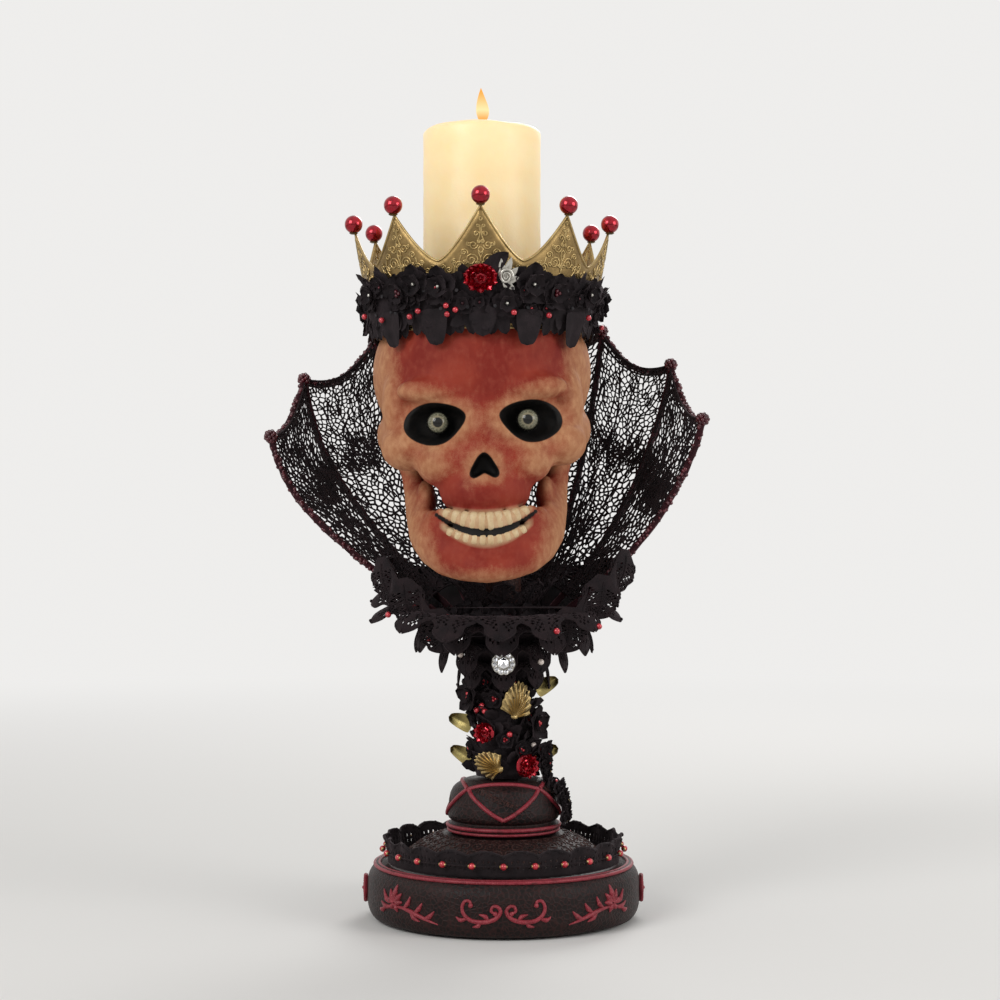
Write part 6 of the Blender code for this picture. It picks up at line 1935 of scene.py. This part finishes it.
def ivory_wax_with_painted_glow():
    # The emission strength here gives the wax a painted glow of the flame
    mix = Finish("ivory_wax_with_painted_glow", Subsurface_Weight=0.35, Subsurface_Radius=(0.012, 0.007, 0.003), Subsurface_Scale=0.6,
                 Specular_IOR_Level=0.4, Coat_Weight=0.15, Coat_Roughness=0.3, Emission_Strength=0.30)
    broad, fine = mix.grain(55), mix.grain(700, 4)
    # From the candle's foot to its top: the painted glow of the flame grows stronger, and the colour grows a little
    # paler
    rise = mix.between(mix.height(), CANDLE_BOTTOM, CANDLE_TOP)
    mix.feed(mix.shader.inputs["Emission Color"], mix.blend(rise, (0.10, 0.05, 0.01), (1.0, 0.62, 0.20)))
    colour = mix.blend(rise, (0.84, 0.66, 0.36), (0.86, 0.72, 0.44))
    colour = mix.blend(mix.between(broad, 0.35, 0.7, 0.0, 0.5), colour, (0.90, 0.79, 0.54))
    return mix.done(colour, mix.between(fine, 0.3, 0.7, 0.36, 0.5), fine, 0.0004, 0.3)


def candle_wobble(angle, radius, height):
    if height < CANDLE_TOP - 0.003 or radius < 0.03:
        return radius, height
    return radius, height + 0.0004 * math.sin(3 * angle + 1) + 0.0002 * math.sin(7 * angle)


wall = [(0.0001, CANDLE_BOTTOM), (CANDLE_RADIUS - 0.001, CANDLE_BOTTOM), (CANDLE_RADIUS, CANDLE_BOTTOM + 0.001)]
wall += [(CANDLE_RADIUS + 0.00012 * math.sin(i * 1.7), CANDLE_BOTTOM + 0.001 + 0.0975 * i / 16) for i in range(1, 17)]
lip = [(CANDLE_RADIUS - 0.0006, -0.0018), (CANDLE_RADIUS - 0.0016, -0.0008), (CANDLE_RADIUS - 0.0032, -0.0003),
       (CANDLE_RADIUS - 0.0052, -0.0008), (CANDLE_RADIUS - 0.0085, -0.0022), (0.024, -0.0031), (0.014, -0.0034),
       (0.006, -0.0035), (0.0030, -0.0031), (0.0013, -0.0026), (0.0001, -0.0026)]
points, faces = turned(wall + [(r, CANDLE_TOP + z) for r, z in lip], 128, candle_wobble)
pillar = [(x + HEAD_X, y, z) for x, y, z in points]
piece("candle_wax", Heap().add((pillar, faces)), [ivory_wax_with_painted_glow()], ["candle"])

# %% Braid the wick and light it
def charred_cotton():
    mix = Finish("charred_cotton", Specular_IOR_Level=0.2)
    fine = mix.grain(2200, 4)
    charred = mix.between(mix.height(), CANDLE_TOP - 0.002, CANDLE_TOP + 0.003)
    colour = mix.blend(charred, (0.30, 0.24, 0.15), (0.02, 0.017, 0.015))
    colour = mix.blend(mix.between(fine, 0.4, 0.7, 0.0, 0.5), colour, (0.09, 0.07, 0.055))
    return mix.done(colour, mix.between(fine, 0.3, 0.7, 0.8, 0.95), fine, 0.0002, 0.8)


def flame_glow():
    mix = Finish("candle_flame", Emission_Strength=1.0)
    colours = mix.node("ShaderNodeValToRGB", Fac=mix.between(mix.height(), CANDLE_TOP + 0.006, CANDLE_TOP + 0.024))
    colours.color_ramp.elements[0].color = (0.95, 0.36, 0.05, 1)
    colours.color_ramp.elements[1].color = (1.0, 0.42, 0.06, 1)
    colours.color_ramp.elements.new(0.35).color = (1.0, 0.84, 0.42, 1)
    mix.feed(mix.shader.inputs["Emission Color"], colours.outputs["Color"])
    return mix.done((0.05, 0.03, 0.01), 0.9)


wick_line = through([(HEAD_X, 0, CANDLE_TOP - 0.0055), (HEAD_X, 0, CANDLE_TOP - 0.001), (HEAD_X, 0, CANDLE_TOP + 0.004),
                     (HEAD_X + 0.0005, 0, CANDLE_TOP + 0.0068), (HEAD_X + 0.0014, 0, CANDLE_TOP + 0.0088)], 5)
piece("wick_braided", Heap().add(cord(wick_line, 0.00085, 9, strands=3, lay=0.004)), [charred_cotton()], ["wick"])
drop_shape = [(0.0001, 0.0), (0.0016, 0.0007), (0.0032, 0.0028), (0.0041, 0.0058), (0.0042, 0.0085), (0.0036, 0.0120),
              (0.0025, 0.0158), (0.0014, 0.0190), (0.0006, 0.0212), (0.0001, 0.0225)]
points, faces = turned([(r, CANDLE_TOP + 0.0046 + z) for r, z in drop_shape], 40)
swaying = [(x + HEAD_X + 0.0006 * math.sin((z - CANDLE_TOP) * 180), y, z) for x, y, z in points]
piece("flame", Heap().add((swaying, faces)), [flame_glow()])

# %% [markdown]
# ## The solids that stay
# The felt, the post, the rod with its nut and washer and the candle's tray have the right shape in
# the solid model already. They only get their finish.

# %% Finish what was carried over
CARRIED = (
    ("felt_pad", FELT), ("stem", BLACK_RESIN), ("tie_rod", ZINC), ("tie_washer", ZINC), ("tie_nut", ZINC),
    ("candle_tray", OLD_GOLD),
)
for node, finish in CARRIED:
    carried = frame["nodes"][node]
    for slot_of_it in carried.material_slots:
        slot_of_it.material = finish
    print(node, "is finished")

# %% Write both boxes
dressed_box = [[float(v) for v in corner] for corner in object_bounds()]
for axis, low, high in zip("xyz", range(3), range(3)):
    for label, box in (("solid", cad_box), ("dressed", dressed_box)):
        print(axis, label, round(box[0][low], 4), round(box[1][high], 4))
